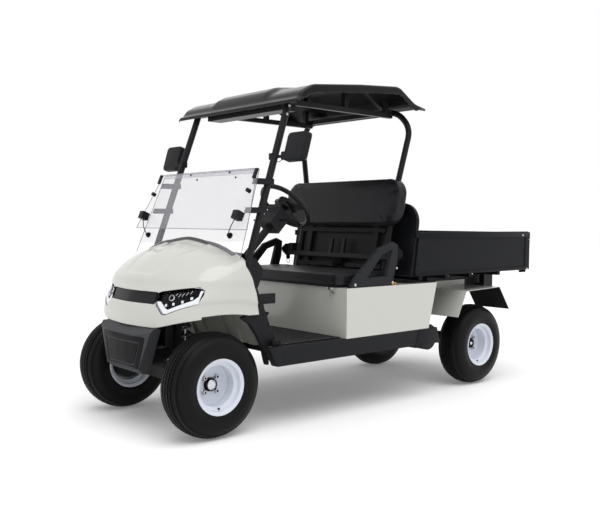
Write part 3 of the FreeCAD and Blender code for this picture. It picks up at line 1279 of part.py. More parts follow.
def steer_block(name, up, left, out):
    """A box square to the steering shaft."""
    box = doc.addObject("Part::Box", name)
    box.Placement.Rotation = steer_frame
    for side, (low, high) in zip(("Length", "Width", "Height"), (up, left, out)):
        bind(box, **{side: f"({high}) - ({low})"})
    x, y, z = steer_spot(up[0], left[0], out[0])
    return bind(box, x=x, y=y, z=z)


column_hole = rod("column_hole", steer_spot("0", "0", "-column_long - dash_wall"), "column_radius + seat_gap",
                  "column_long", steer_axis)
cowl_inside = shape("cowl_inside", cowl_skin(d.cowl_wall + d.seat_gap, d.cowl_room))
node("dashboard", common("dashboard_set", cut("dash_shell", dash_outer, dash_inner, dash_front_cut, column_hole),
                         cowl_inside))

# Steering column: tube, cover box and two levers
column_top = "-steer_hub_deep / 2 - column_gap"
column = cut("column", rod("column_tube", steer_spot("0", "0", "-column_long"), "column_radius",
                           f"column_long + {column_top}", steer_axis),
             rod("column_bore", steer_spot("0", "0", f"{column_top} - shroud_long"), "column_shaft_radius + shaft_clearance",
                 "2 * shroud_long", steer_axis))
shroud_low = f"{column_top} - 4 * column_gap - shroud_long"
shroud = cut("shroud", steer_block("shroud_box", ("-shroud_deep / 2", "shroud_deep / 2"), ("-shroud_wide / 2", "shroud_wide / 2"),
                                   (shroud_low, f"{shroud_low} + shroud_long")),
             rod("shroud_bore", steer_spot("0", "0", shroud_low), "column_radius - lever_radius / 4", "shroud_long", steer_axis))
levers = [rod(f"lever_{number}", steer_spot("0", f"{side_sign}shroud_wide / 2 {'+' if side_sign else '-'} lever_radius",
                                            f"{shroud_low} + shroud_long / 2"),
              "lever_radius", "lever_long", direction)
          for number, (side_sign, direction) in enumerate((("-", -Y), ("", Y)))]
node("steering_column", join("steering_column_set", column, shroud, *levers))

# Steering wheel: rim, spokes, padded hub and shaft
steer_rim = doc.addObject("Part::Torus", "steer_rim")
steer_rim.Placement.Rotation = steer_frame
rim_x, rim_y, rim_z = steer_spot("0", "0", "0")
bind(steer_rim, Radius1="steer_radius - steer_rim_radius", Radius2="steer_rim_radius", x=rim_x, y=rim_y, z=rim_z)
spoke_half = ("-steer_spoke_wide / 2", "steer_spoke_wide / 2")
spokes = [steer_block("lower_spoke", ("-steer_radius + steer_rim_radius", "0"), spoke_half, ("-steer_spoke_thick", "0")),
          steer_block("cross_spoke", spoke_half, ("-steer_radius + steer_rim_radius", "steer_radius - steer_rim_radius"),
                      ("-steer_spoke_thick", "0"))]
hub_pad = rod("steer_hub", steer_spot("0", "0", "-steer_hub_deep / 2"), "steer_hub_radius", "steer_hub_deep", steer_axis)
steer_shaft = rod("steer_shaft", steer_spot("0", "0", f"{column_top} - shroud_long / 2"), "column_shaft_radius",
                  "shroud_long / 2 + column_gap + steer_hub_deep / 2", steer_axis)
node("steering_wheel", join("steering_wheel_set", steer_rim, hub_pad, steer_shaft, *spokes))

# Pedals: two pads on arms from the toe board
pedal_parts = []
for number, side_sign in enumerate(("-", "")):
    pedal_y = f"(pedal_half {'+' if side_sign == '' else '-'} pedal_apart / 2)"
    pad = doc.addObject("Part::Box", f"pedal_pad_{number}")
    pad.Placement.Rotation = Rotation(Y, -d.pedal_lean_deg)
    bind(pad, Length="pedal_thick", Width="pedal_wide", Height="pedal_high", x="pedal_ahead",
         y=f"{pedal_y} - pedal_wide / 2", z=f"{mat_top} + pedal_arm")
    arm_high = f"{mat_top} + pedal_arm + pedal_high / 2"
    board_x = (f"floor_front - toe_board_sheet + ({arm_high} - pedal_thick - {rail_top}) * (toe_board_top_ahead - floor_front)"
               f" / (toe_board_top - {rail_top})")
    arm_start = "pedal_ahead - pedal_high / 3"
    pedal_parts.append(join(f"pedal_{number}", pad, rod(f"pedal_arm_{number}", (arm_start, pedal_y, arm_high), "pedal_thick",
                                                        f"{board_x} - ({arm_start}) - seat_gap", X)))
node("pedals", group("pedal_pair", *pedal_parts))


def tilted(name, lean, ahead, high, low_x, thick, loop):
    """A sheet drawn upright below a top edge, then leaned back about that edge."""
    piece = plate(name, "YZ", "0", thick, loop)
    piece.Placement.Rotation = Rotation(Y, -reckon(lean))
    return bind(piece, x=f"{ahead} + ({low_x}) * cos({lean})", z=f"{high} + ({low_x}) * sin({lean})")


# Windscreen: a lower pane down to the cowl and an upper pane folded down in front of it
pane_loop = [("-screen_top_half", "0"), ("screen_top_half", "0"), ("screen_bottom_half", "-screen_long"),
             ("-screen_bottom_half", "-screen_long")]
fold_loop = [("-screen_top_half", "0"), ("screen_top_half", "0"), ("fold_bottom_half", "-fold_long"),
             ("-fold_bottom_half", "-fold_long")]
pane = tilted("pane", "screen_lean_deg", "screen_top_ahead", "screen_top", "0", "glass", pane_loop)
cowl_outside = shape("cowl_outside", cowl_skin(-d.seat_gap, d.cowl_room))
node("windscreen_lower", cut("windscreen_lower_set", pane, cowl_outside))
fold = tilted("fold", "fold_lean_deg", "screen_top_ahead", "screen_top", "fold_gap", "glass", fold_loop)
node("windscreen_upper", fold)

# Windscreen fittings: hinge strip, knobs and catches on the panes, and clamps to the struts
hinge_strip = tilted("hinge_strip", "screen_lean_deg", "screen_top_ahead", "screen_top", "glass + seat_gap",
                     "fold_gap - glass - 2 * seat_gap",
                     [("-screen_hinge_half", "-screen_hinge_high"), ("screen_hinge_half", "-screen_hinge_high"),
                      ("screen_hinge_half", "0"), ("-screen_hinge_half", "0")])
strut_drop = "(strut_top_high - strut_knee_high)"


def strut_at(high):
    """The strut's middle at a height above its knee: ahead and to the left."""
    share = f"(strut_top_high - ({high})) / {strut_drop}"
    return (f"(strut_top_ahead + (strut_knee_ahead - strut_top_ahead) * {share})",
            f"(strut_top_half + (strut_low_half - strut_top_half) * {share})")


behind_pane = tilted("behind_pane", "screen_lean_deg", "screen_top_ahead", "screen_top", "-screen_long",
                     "screen_long - seat_gap",
                     [("-body_half", "-2 * screen_long"), ("body_half", "-2 * screen_long"),
                      ("body_half", "screen_long"), ("-body_half", "screen_long")])
clamp_half = "(strut_radius + glass / 2)"
clamps = []
for number, drop in enumerate(("screen_clip_high", "screen_block_drop + screen_block")):
    strut_x, strut_y = strut_at(f"screen_top - {drop}")
    clamp = block(f"clamp_{number}", (f"{strut_x} - {clamp_half}", f"screen_top_ahead + ({drop}) * tan(screen_lean_deg) + glass"),
                  (f"{strut_y} - {clamp_half}", f"{strut_y} + {clamp_half}"),
                  (f"screen_top - {drop} - screen_clamp_high / 2", f"screen_top - {drop} + screen_clamp_high / 2"))
    clamps.append(cut(f"strut_clamp_{number}", common(f"clamp_trim_{number}", clamp, behind_pane), strut_room))
fold_front = "fold_gap + glass + seat_gap"
knob_axis = Rotation(Y, -d.fold_lean_deg).multVec(X)
knob = rod("screen_knob", (f"screen_top_ahead + ({fold_front}) * cos(fold_lean_deg) + screen_knob_drop * sin(fold_lean_deg)",
                           "screen_fitting_half",
                           f"screen_top + ({fold_front}) * sin(fold_lean_deg) - screen_knob_drop * cos(fold_lean_deg)"),
           "screen_knob_radius", "2 * screen_knob_radius", knob_axis)


def fold_block(name, wide, low, high, thick):
    """A block on the front of the folded pane."""
    return tilted(name, "fold_lean_deg", "screen_top_ahead", "screen_top", fold_front, thick,
                  [(f"screen_fitting_half - {wide} / 2", low), (f"screen_fitting_half + {wide} / 2", low),
                   (f"screen_fitting_half + {wide} / 2", high), (f"screen_fitting_half - {wide} / 2", high)])


catch = fold_block("screen_catch", "screen_block", "-screen_block_drop - screen_block", "-screen_block_drop", "screen_block")
clip = fold_block("screen_clip", "screen_clip_wide", "-screen_clip_high", "-glass", "2 * glass")
left_fittings = group("left_fittings", *clamps, knob, catch, clip)
node("windscreen_fittings", group("fitting_set", hinge_strip, left_fittings, flip("right_fittings", left_fittings)))

# Mirrors: rounded housings on arms clamped to the struts
mirror_x, mirror_y = strut_at("mirror_arm_high")
mirror_loop = [("mirror_inner", "mirror_low"), ("mirror_inner + mirror_wide", "mirror_low"),
               ("mirror_inner + mirror_wide", "mirror_low + mirror_high"), ("mirror_inner", "mirror_low + mirror_high")]
housing = plate("mirror_housing", "YZ", "mirror_ahead - mirror_thick / 2", "mirror_thick", mirror_loop)
rounded(housing, "mirror_round", lambda edge: along(edge, X))
arm_x = "(mirror_ahead + mirror_thick / 2)"
arm = rod("mirror_arm", (arm_x, mirror_y, "mirror_arm_high"), "mirror_arm_radius",
          f"mirror_inner + mirror_round - {mirror_y}", Y)
collar = block("mirror_collar", (f"{mirror_x} - {clamp_half}", f"{mirror_x} + {clamp_half}"),
               (f"{mirror_y} - {clamp_half}", f"{mirror_y} + {clamp_half}"),
               ("mirror_arm_high - 1.4 * mirror_arm_radius", "mirror_arm_high + 1.4 * mirror_arm_radius"))
mirror = cut("mirror", join("mirror_solid", housing, arm, collar), strut_room)
node("mirrors", both_sides("mirror_pair", mirror))


def folded_sheet(name, points, thick, start, wide):
    """A sheet folded along lines across the cart: the outside corners, moved in by the sheet's thickness."""
    places = [Vector(reckon(x), 0, reckon(z)) for x, z in points]
    inner = []
    for number, place in enumerate(places):
        runs = [places[number + step] - places[number + step - 1] for step in (0, 1)
                if 0 < number + step < len(places)]
        normals = [Vector(run.z, 0, -run.x).normalize() for run in runs]
        middle = (normals[0] + normals[-1]).normalize()
        inner.append(place + middle * (thick / middle.dot(normals[0])))
    solid = prism(places + inner[::-1], Y * wide)
    solid.translate(Y * start)
    return shape(name, solid)


# Rear fenders: folded sheet over each tyre with an upright flange on the frame's side
FENDER_SHARES = ((0.0, 0.0), (0.152, 0.937), (0.794, 1.0), (1.0, 0.1))
fender_loop = spread(FENDER_SHARES, "fender_front", "-fender_long", "fender_low", "fender_high")
fender = folded_sheet("fender_sheet_left", fender_loop, -d.fender_sheet, d.fender_inner, d.fender_outer - d.fender_inner)
flange = block("fender_flange", ("fender_front - 0.75 * fender_long", "fender_front - 0.2 * fender_long"),
               ("fender_inner + seat_gap", "fender_inner + fender_sheet + seat_gap"),
               ("fender_low + 0.9 * fender_high", "fender_low + 0.9 * fender_high + fender_flange"))
node("rear_fenders", both_sides("fender_pair", join("fender", fender, flange)))

# Cargo bed floor: a plate on cross ribs, with hinge lugs and gate lugs
rib_y = ("-bed_half + bed_rail_wide", "bed_half - bed_rail_wide")
floor_z = ("bed_bottom", "bed_bottom + bed_floor")
BED_RIB_SHARES = (0.095, 0.3, 0.5, 0.756)
floor_front_x = "(bed_front - headboard_deep / cos(bed_lean_deg) - gate_gap)"
bed_parts = [block("bed_plate", ("bed_rear", floor_front_x), rib_y, floor_z),
             block("bed_front_strip", (floor_front_x, "bed_front"), rib_y, ("bed_bottom", "bed_bottom + bed_floor - seat_gap"))]
rib_z = ("bed_bottom - bed_rib_high", "bed_bottom")
for number, share in enumerate(BED_RIB_SHARES):
    middle = f"bed_front - {share} * (bed_front - bed_rear)"
    bed_parts.append(block(f"bed_rib_{number}", (f"{middle} - bed_rib_wide / 2", f"{middle} + bed_rib_wide / 2"), rib_y, rib_z))
gate_pin_x, gate_pin_z = "(bed_rear - gate_pin_behind)", "(bed_bottom - gate_pin_drop)"
lug_y = (f"{upper_in} + bed_lug_gap", f"{upper_in} + bed_lug_gap + bed_lug")
hinge_lugs = [rod("bed_lug_eye", ("bed_pivot_ahead", lug_y[0], "bed_pivot_high"), "2 * bed_pin_radius", "bed_lug", Y),
              block("bed_lug_neck", ("bed_pivot_ahead - 2 * bed_pin_radius", "bed_pivot_ahead + 2 * bed_pin_radius"),
                    lug_y, ("bed_pivot_high", "bed_bottom")),
              rod("gate_pin", (gate_pin_x, "gate_lug_half", gate_pin_z), "gate_pin_radius", "3 * gate_lug", Y),
              rod("gate_ear", (gate_pin_x, "gate_lug_half", gate_pin_z), "gate_lug_radius", "gate_lug", Y),
              block("gate_ear_neck", (gate_pin_x, "bed_rear + bed_rib_wide"), ("gate_lug_half", "gate_lug_half + gate_lug"),
                    (f"{gate_pin_z} - gate_lug_radius", "bed_bottom"))]
bed_bore = rod("bed_bore", ("bed_pivot_ahead", upper_in, "bed_pivot_high"), "bed_pin_radius + shaft_clearance",
               "4 * bed_lug", Y)
left_lugs = cut("left_bed_lugs", join("left_bed_lug_set", *hinge_lugs), bed_bore)
node("bed_floor", join("bed_floor_set", *bed_parts, left_lugs, flip("right_bed_lugs", left_lugs)))

# Rubber pads between the frame's saddles and the bed's ribs
pad_parts = []
for number, share in enumerate(BED_RIB_SHARES[2:]):
    middle = f"bed_front - {share} * (bed_front - bed_rear)"
    pad_parts.append(block(f"bed_pad_{number}", (f"{middle} - bed_rib_wide / 2", f"{middle} + bed_rib_wide / 2"), upper_y,
                           (saddle_top, "bed_bottom - bed_rib_high - seat_gap")))
node("bed_pads", both_sides("bed_pad_pair", group("bed_pad_group", *pad_parts)))


def bed_slant(high, ahead="0"):
    """Where the bed's leaning front is at a height."""
    return f"(bed_front - headboard_deep / cos(bed_lean_deg) - ({high} - bed_bottom) * tan(bed_lean_deg) - ({ahead}))"


# Bed sides: recessed walls framed by a top rail, a bottom fold and end posts
side_low = "bed_bottom + bed_floor + seat_gap"
rail_low = "bed_top - bed_rail_high"
side_loop = [("bed_rear", side_low), (bed_slant(side_low, "seat_gap"), side_low), (bed_slant("bed_top", "seat_gap"), "bed_top"),
             ("bed_rear", "bed_top")]
recess_low, recess_front = f"{side_low} + bed_fold", "bed_rail_wide + seat_gap"
recess_loop = [("bed_rear + bed_rail_wide", recess_low), (bed_slant(recess_low, recess_front), recess_low),
               (bed_slant(rail_low, recess_front), rail_low), ("bed_rear + bed_rail_wide", rail_low)]
side_wall = cut("bed_side", plate("bed_side_solid", "XZ", "bed_half - bed_rail_wide", "bed_rail_wide", side_loop),
                plate("bed_side_inside", "XZ", "bed_half - bed_rail_wide", "bed_rail_wide - bed_recess - bed_floor", recess_loop),
                plate("bed_side_outside", "XZ", "bed_half - bed_recess", "bed_recess", recess_loop))
node("bed_sides", both_sides("bed_side_pair", side_wall))

# Headboard: a leaning frame with round corners and a thin panel
headboard_long = "((headboard_top - bed_bottom - bed_floor) / cos(bed_lean_deg))"
head_z = "bed_bottom + bed_floor"
inner_half = "(headboard_half - headboard_frame)"


def headboard_plate(name, half, low, high, start, thick):
    """An upright plate of the headboard, with rounded upper corners, leaned back."""
    loop = [(f"-{half}", low), (half, low), (half, high), (f"-{half}", high)]
    piece = plate(name, "YZ", "0", thick, loop)
    rounded(piece, f"headboard_corner - headboard_half + {half}",
            lambda edge: along(edge, X) and edge.CenterOfMass.z > d.bed_rib_high * 3)
    piece.Placement.Rotation = Rotation(Y, -d.bed_lean_deg)
    return bind(piece, x=f"bed_front - headboard_deep / cos(bed_lean_deg) + ({start}) * cos(bed_lean_deg)",
                z=f"{head_z} + ({start}) * sin(bed_lean_deg)")


head_outer = headboard_plate("head_outer", "headboard_half", "0", headboard_long, "0", "headboard_deep")
head_window = headboard_plate("head_window", inner_half, "headboard_frame", f"{headboard_long} - headboard_frame",
                              "-headboard_deep", "3 * headboard_deep")
headboard_frame = cut("headboard_frame", head_outer, head_window)
head_panel = headboard_plate("head_panel", f"({inner_half} - seat_gap)", "headboard_frame + seat_gap",
                             f"{headboard_long} - headboard_frame - seat_gap", "headboard_deep / 3", "bed_floor")
node("headboard", headboard_frame)
node("headboard_panel", head_panel)

# Tailgate: a pressed panel on two pins, with latches at its top corners
gate_x = ("bed_rear - gate_gap - gate_deep", "bed_rear - gate_gap")
gate_z = ("bed_bottom + gate_lift", "bed_top - gate_gap")
gate_frame_in = "(gate_half - bed_rail_high)"
gate_parts = [cut("gate_panel", block("gate_solid", gate_x, ("-gate_half", "gate_half"), gate_z),
                  block("gate_recess", (gate_x[0], "bed_rear - gate_gap - bed_recess"), (f"-{gate_frame_in}", gate_frame_in),
                        ("bed_bottom + gate_lift + bed_rail_high", "bed_top - gate_gap - bed_rail_high")))]
gate_lug_y = ("gate_lug_half + gate_lug + gate_gap", "gate_lug_half + 2 * gate_lug + gate_gap")
gate_side = [rod("gate_lug", (gate_pin_x, gate_lug_y[0], gate_pin_z), "gate_lug_radius", "gate_lug", Y),
             block("gate_lug_neck", (f"{gate_pin_x} - gate_lug_radius", f"{gate_pin_x} + gate_lug_radius"), gate_lug_y,
                   (gate_pin_z, "bed_bottom + gate_lift")),
             block("latch", (f"{gate_x[0]} - latch_deep / 2", gate_x[0]), ("gate_half - latch_wide", "gate_half"),
                   ("bed_top - gate_gap - latch_high", "bed_top - gate_gap"))]
gate_bore = rod("gate_bore", (gate_pin_x, "gate_lug_half", gate_pin_z), "gate_pin_radius + shaft_clearance", "4 * gate_lug", Y)
gate_left = cut("gate_left", join("gate_left_set", *gate_side), gate_bore)
node("tailgate", join("tailgate_set", *gate_parts, gate_left, flip("gate_right", gate_left)))

# Build everything, look for faults and write one file for each piece
doc.recompute()
for piece in doc.Objects:
    if "Invalid" in piece.State or "Error" in piece.State:
        raise RuntimeError(f"{piece.Name} isn't built")
os.makedirs("parts", exist_ok=True)
for label, piece in NODES.items():
    solid = piece.Shape
    if solid.isNull() or not solid.isValid() or not solid.Solids:
        raise RuntimeError(f"{label} isn't a valid solid")
    solid.exportStep(os.path.join("parts", f"{label}.step"))
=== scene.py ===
import math

import bmesh
import bpy
from mathutils import Matrix, Vector
from mathutils.bvhtree import BVHTree


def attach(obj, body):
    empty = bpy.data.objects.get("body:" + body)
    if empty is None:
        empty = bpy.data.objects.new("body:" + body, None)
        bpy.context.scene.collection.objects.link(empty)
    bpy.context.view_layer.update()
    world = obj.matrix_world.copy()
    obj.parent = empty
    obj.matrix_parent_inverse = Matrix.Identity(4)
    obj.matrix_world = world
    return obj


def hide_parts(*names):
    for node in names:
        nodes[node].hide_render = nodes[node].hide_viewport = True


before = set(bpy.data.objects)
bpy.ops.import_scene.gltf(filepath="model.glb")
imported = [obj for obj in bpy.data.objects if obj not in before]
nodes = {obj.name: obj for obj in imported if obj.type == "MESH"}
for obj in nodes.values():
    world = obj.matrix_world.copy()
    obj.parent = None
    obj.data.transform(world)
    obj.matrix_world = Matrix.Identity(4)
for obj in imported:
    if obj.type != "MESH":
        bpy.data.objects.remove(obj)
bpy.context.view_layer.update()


# The ladder frame, axle beam, knuckles and springs are welded steel under a
# satin black powder coat. The coat has a fine orange peel and catches the
# light along every edge.
def add(tree, kind, feeds=(), values=(), **settings):
    """Add a shader node with its settings, its values and the sockets that feed it."""
    made = tree.nodes.new("ShaderNode" + kind)
    for name, setting in settings.items():
        setattr(made, name, setting)
    for socket, value in dict(values).items():
        made.inputs[socket].default_value = value
    for socket, source in dict(feeds).items():
        tree.links.new(source, made.inputs[socket])
    return made


def plain(name, values):
    """A material whose shader has these values."""
    material = bpy.data.materials.new(name)
    material.use_nodes = True
    shader = material.node_tree.nodes["Principled BSDF"]
    for socket, value in values.items():
        shader.inputs[socket].default_value = value
    return material


GLOSS_SOCKETS = {"coat": "Coat Weight", "metallic": "Metallic", "sheen": "Sheen Weight",
                 "level": "Specular IOR Level", "glow": "Emission Strength"}
COAT_ROUGHNESS, ROUGH_SPREAD, ROUGH_LEAST = 0.06, 0.07, 0.02
CLOUD, SPECK_DETAIL, RELIEF_DEEP = {"Scale": 4.0, "Detail": 4.0}, 3.0, 0.001


def finish(name, colour, roughness, grain=700.0, relief=0.05, drift=0.1, edge=0.0015, **gloss):
    """A surface whose colour drifts slowly, whose grain roughens and lifts it, and whose edges are eased."""
    amounts = {GLOSS_SOCKETS[key]: amount for key, amount in gloss.items()}
    material = plain(name, {"Coat Roughness": COAT_ROUGHNESS, **amounts})
    tree = material.node_tree
    place = add(tree, "TexCoord").outputs["Object"]
    cloud = add(tree, "TexNoise", {"Vector": place}, CLOUD).outputs["Fac"]
    speck = add(tree, "TexNoise", {"Vector": place}, {"Scale": grain, "Detail": SPECK_DETAIL}).outputs["Fac"]
    shades = {"A": (*[part * (1 - drift) for part in colour], 1),
              "B": (*[min(1, part * (1 + drift)) for part in colour], 1)}
    tint = add(tree, "Mix", {"Factor": cloud}, shades, data_type="RGBA")
    spread = {"To Min": max(ROUGH_LEAST, roughness - ROUGH_SPREAD), "To Max": roughness + ROUGH_SPREAD}
    rough = add(tree, "MapRange", {"Value": speck}, spread)
    eased = add(tree, "Bevel", {}, {"Radius": edge}, samples=4)
    raised = add(tree, "Bump", {"Height": speck, "Normal": eased.outputs["Normal"]},
                 {"Strength": relief, "Distance": RELIEF_DEEP})
    shader = tree.nodes["Principled BSDF"]
    tree.links.new(tint.outputs["Result"], shader.inputs["Base Color"])
    tree.links.new(rough.outputs["Result"], shader.inputs["Roughness"])
    tree.links.new(raised.outputs["Normal"], shader.inputs["Normal"])
    return material


def wear(material, *names):
    """Give CAD nodes a finish."""
    for name in names:
        nodes[name].data.materials.clear()
        nodes[name].data.materials.append(material)


def linked(name, data):
    """A new object in the scene."""
    made = bpy.data.objects.new(name, data)
    bpy.context.scene.collection.objects.link(made)
    return made


def put(name, mesh, material, body, sharp=40.0, stands_for=(), turn_out=True):
    """Make a bmesh a piece: smooth apart from its sharp edges, finished, and riding on its body."""
    if turn_out:
        bmesh.ops.recalc_face_normals(mesh, faces=mesh.faces[:])
    data = bpy.data.meshes.new(name)
    mesh.to_mesh(data)
    mesh.free()
    data.shade_smooth()
    data.set_sharp_from_angle(angle=math.radians(sharp))
    piece = linked(name, data)
    data.materials.append(material)
    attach(piece, body)
    if stands_for:
        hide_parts(*stands_for)
    return piece


def soften_edges(mesh, edges, offset, segments=2):
    """Round edges off, and give the points that this makes."""
    return bmesh.ops.bevel(mesh, geom=list(edges), offset=offset, offset_type="OFFSET", segments=segments,
                           profile=0.5, affect="EDGES", material=-1)["verts"]


def drum(mesh, foot, axis, radius, length, top=None, sides=24, soften=0.0):
    """Add a round bar, cone or hexagon that stands on its foot along an axis."""
    axis = Vector(axis).normalized()
    upright = axis.to_track_quat("Z", "Y").to_matrix().to_4x4()
    place = Matrix.Translation(Vector(foot) + axis * length / 2) @ upright
    made = bmesh.ops.create_cone(mesh, cap_ends=True, segments=sides, radius1=radius,
                                 radius2=radius if top is None else top, depth=length, matrix=place)["verts"]
    if soften:
        ends = [face for vert in made for face in vert.link_faces if len(face.verts) == sides]
        soften_edges(mesh, {rim for face in ends for rim in face.edges}, soften)


def bolt(mesh, seat, axis, radius, height=0.6):
    """Add a hexagon head on its washer."""
    axis = Vector(axis).normalized()
    washer = radius * 0.2
    drum(mesh, seat, axis, radius * 1.35, washer, soften=radius * 0.05)
    drum(mesh, Vector(seat) + axis * washer, axis, radius, radius * height, sides=6, soften=radius * 0.12)


SIDES = (1, -1)
steel_black = finish("steel_black", (0.011, 0.011, 0.0125), 0.40, relief=0.08, drift=0.12, level=0.18)
wear(steel_black, "frame", "front_axle", "left_knuckle", "right_knuckle", "tie_rod", "rear_springs")
zinc = finish("zinc", (0.52, 0.52, 0.50), 0.32, grain=300, relief=0.1, drift=0.15, metallic=0.95)
SPRING_BOLTS, SPRING_BOLT_RADIUS = ((-0.543, 0.2945, 0.402), (-1.313, 0.2945, 0.402)), 0.010
ARM_BOLT, ARM_BOLT_RADIUS = (0.882, 0.184, 0.262), 0.011
mesh = bmesh.new()
for side in SIDES:
    for ahead, out, high in SPRING_BOLTS:
        bolt(mesh, (ahead, side * out, high), (0, side, 0), SPRING_BOLT_RADIUS)
    bolt(mesh, (ARM_BOLT[0], side * ARM_BOLT[1], ARM_BOLT[2]), (0, side, 0), ARM_BOLT_RADIUS)
put("frame_bolts", mesh, zinc, "chassis")

# The front suspension is a black coil round a damper on each side, between the
# axle beam and the spring tower. The damper's rod is bare chrome.
UP = Vector((0, 0, 1))
COIL_FOOT, COIL_HIGH, COIL_RADIUS, COIL_WIRE = (1.192, 0.205, 0.296), 0.264, 0.0255, 0.0052
COIL_TURNS, COIL_STEPS = 7, 20
DAMPER_BODY, DAMPER_HEAD, DAMPER_ROD = (0.004, 0.0165, 0.150), (0.236, 0.0185, 0.026), (0.150, 0.0065, 0.090)


def join(target, made):
    """Move one bmesh into another."""
    holder = bpy.data.meshes.new("join")
    made.to_mesh(holder)
    made.free()
    target.from_mesh(holder)
    bpy.data.meshes.remove(holder)


chrome = finish("chrome", (0.62, 0.63, 0.65), 0.14, grain=250, relief=0.02, drift=0.08, metallic=1.0)
coil_gloss = finish("coil_gloss", (0.012, 0.012, 0.013), 0.24, relief=0.05, coat=0.4)
coils, dampers, rods = bmesh.new(), bmesh.new(), bmesh.new()
for side in SIDES:
    foot = Vector((COIL_FOOT[0], side * COIL_FOOT[1], COIL_FOOT[2]))
    wound = bmesh.new()
    upright = Matrix.Rotation(math.pi / 2, 4, "X")
    start = Matrix.Translation(foot + Vector((COIL_RADIUS, 0, COIL_WIRE))) @ upright
    bmesh.ops.create_circle(wound, segments=10, radius=COIL_WIRE, matrix=start)
    rise = (COIL_HIGH - 2 * COIL_WIRE) / (COIL_TURNS * COIL_STEPS)
    bmesh.ops.spin(wound, geom=wound.verts[:] + wound.edges[:], cent=foot, axis=UP, dvec=(0, 0, rise),
                   angle=2 * math.pi * COIL_TURNS, steps=COIL_TURNS * COIL_STEPS, use_merge=False)
    bmesh.ops.holes_fill(wound, edges=[edge for edge in wound.edges if edge.is_boundary], sides=0)
    join(coils, wound)
    for mesh, (lift, radius, length), soften in ((dampers, DAMPER_BODY, 0.003), (dampers, DAMPER_HEAD, 0.003),
                                                 (rods, DAMPER_ROD, 0)):
        drum(mesh, foot + UP * lift, UP, radius, length, soften=soften)
put("front_coils", coils, coil_gloss, "chassis", stands_for=("front_springs",))
put("front_dampers", dampers, steel_black, "chassis")
put("damper_rods", rods, chrome, "chassis")

# The rear axle is one cast unit with its motor: rough grey-black iron, bolted
# round the flange of the gear case.
hub_iron = finish("hub_iron", (0.035, 0.035, 0.037), 0.55, grain=260, relief=0.35, drift=0.25, metallic=0.3)
wear(hub_iron, "rear_axle")

# The tyres are wide turf tyres with zigzag grooves round the tread, cut blocks
# on the shoulders and plain walls. The rubber is matt, paler where it is worn.
TYRE_RADIUS, TYRE_FALL, TYRE_FALL_AT, TYRE_FALL_POWER = 0.2612, 0.013, 0.0602, 2.5
TYRE_STEPS = 150
GROOVE_DEEP, GROOVE_HALF, GROOVE_FLOOR, GROOVE_SWAY = 0.0055, 0.0042, 0.7, 0.0024
GROOVES = (0.0, 0.0215, 0.0405)
SWAY_FROM, SWAY_TO, SWAY_RADIUS = 0.012, 0.045, 0.24
CROWN_TURN, CROWN_DEEP, CROWN_CUT = 0.35, 0.002, {"thickness": 0.0011, "depth": 0.0027}
SHOULDER_FROM, SHOULDER_TO, SHOULDER_RADIUS = 0.062, 0.0762, 0.234
SHOULDER_CUT = {"thickness": 0.0014, "depth": 0.0024}
TYRE_WALL = ((0.0625, 0.2475), (0.0690, 0.2425), (0.0760, 0.2355), (0.0800, 0.2310), (0.0855, 0.2215),
             (0.0870, 0.2180), (0.0905, 0.2090), (0.0935, 0.1960), (0.0938, 0.1830), (0.0945, 0.1790),
             (0.0935, 0.1750), (0.0925, 0.1650), (0.0890, 0.1530), (0.0870, 0.1455), (0.0846, 0.1404))
AXLES, TRACK_HALF, WHEEL_HIGH = {"front": 1.192, "rear": -0.928}, 0.4325, 0.264
HANDS = (("left", 1), ("right", -1))


def tread_radius(out):
    """How far the tread stands from the axle, at a distance out from its middle."""
    return TYRE_RADIUS - TYRE_FALL * (abs(out) / TYRE_FALL_AT) ** TYRE_FALL_POWER


tyre_rubber = finish("tyre_rubber", (0.0045, 0.0045, 0.005), 0.42, grain=420, relief=0.3, drift=0.3,
                     edge=0.001, level=0.13)
floor_half = GROOVE_HALF * GROOVE_FLOOR
groove_line = ((-GROOVE_HALF, 0), (-floor_half, GROOVE_DEEP), (floor_half, GROOVE_DEEP), (GROOVE_HALF, 0))
half_tread = [(groove + offset, tread_radius(groove + offset) - deep)
              for groove in GROOVES for offset, deep in groove_line if groove or offset > 0]
half_profile = half_tread + list(TYRE_WALL)
profile = [(-out, radius) for out, radius in reversed(half_profile)] + half_profile
tyre = bmesh.new()
ring = [tyre.verts.new((0, out, radius)) for out, radius in profile]
for first, second in zip(ring, ring[1:] + ring[:1]):
    tyre.edges.new((first, second))
bmesh.ops.spin(tyre, geom=tyre.verts[:] + tyre.edges[:], cent=(0, 0, 0), axis=(0, 1, 0), dvec=(0, 0, 0),
               angle=2 * math.pi, steps=TYRE_STEPS, use_merge=True)
bmesh.ops.recalc_face_normals(tyre, faces=tyre.faces[:])
shoulder, crown = [], []
for face in tyre.faces:
    middle = face.calc_center_median()
    radius = math.hypot(middle.x, middle.z)
    if abs(face.normal.y) < CROWN_TURN and radius > tread_radius(middle.y) - CROWN_DEEP:
        crown.append(face)
    elif SHOULDER_FROM < abs(middle.y) < SHOULDER_TO and radius > SHOULDER_RADIUS:
        shoulder.append(face)
for vert in tyre.verts:
    if SWAY_FROM < abs(vert.co.y) < SWAY_TO and math.hypot(vert.co.x, vert.co.z) > SWAY_RADIUS:
        step = round(math.atan2(vert.co.x, vert.co.z) / (2 * math.pi) * TYRE_STEPS)
        vert.co.y += GROOVE_SWAY * (1 if step % 2 else -1)
bmesh.ops.inset_individual(tyre, faces=crown, use_even_offset=True, **CROWN_CUT)
bmesh.ops.inset_individual(tyre, faces=shoulder, use_even_offset=True, **SHOULDER_CUT)
tyre_data = bpy.data.meshes.new("tyre")
tyre.to_mesh(tyre_data)
tyre.free()
wheels = [(f"{end}_{hand}", Vector((ahead, side * TRACK_HALF, WHEEL_HIGH)), side)
          for end, ahead in AXLES.items() for hand, side in HANDS]
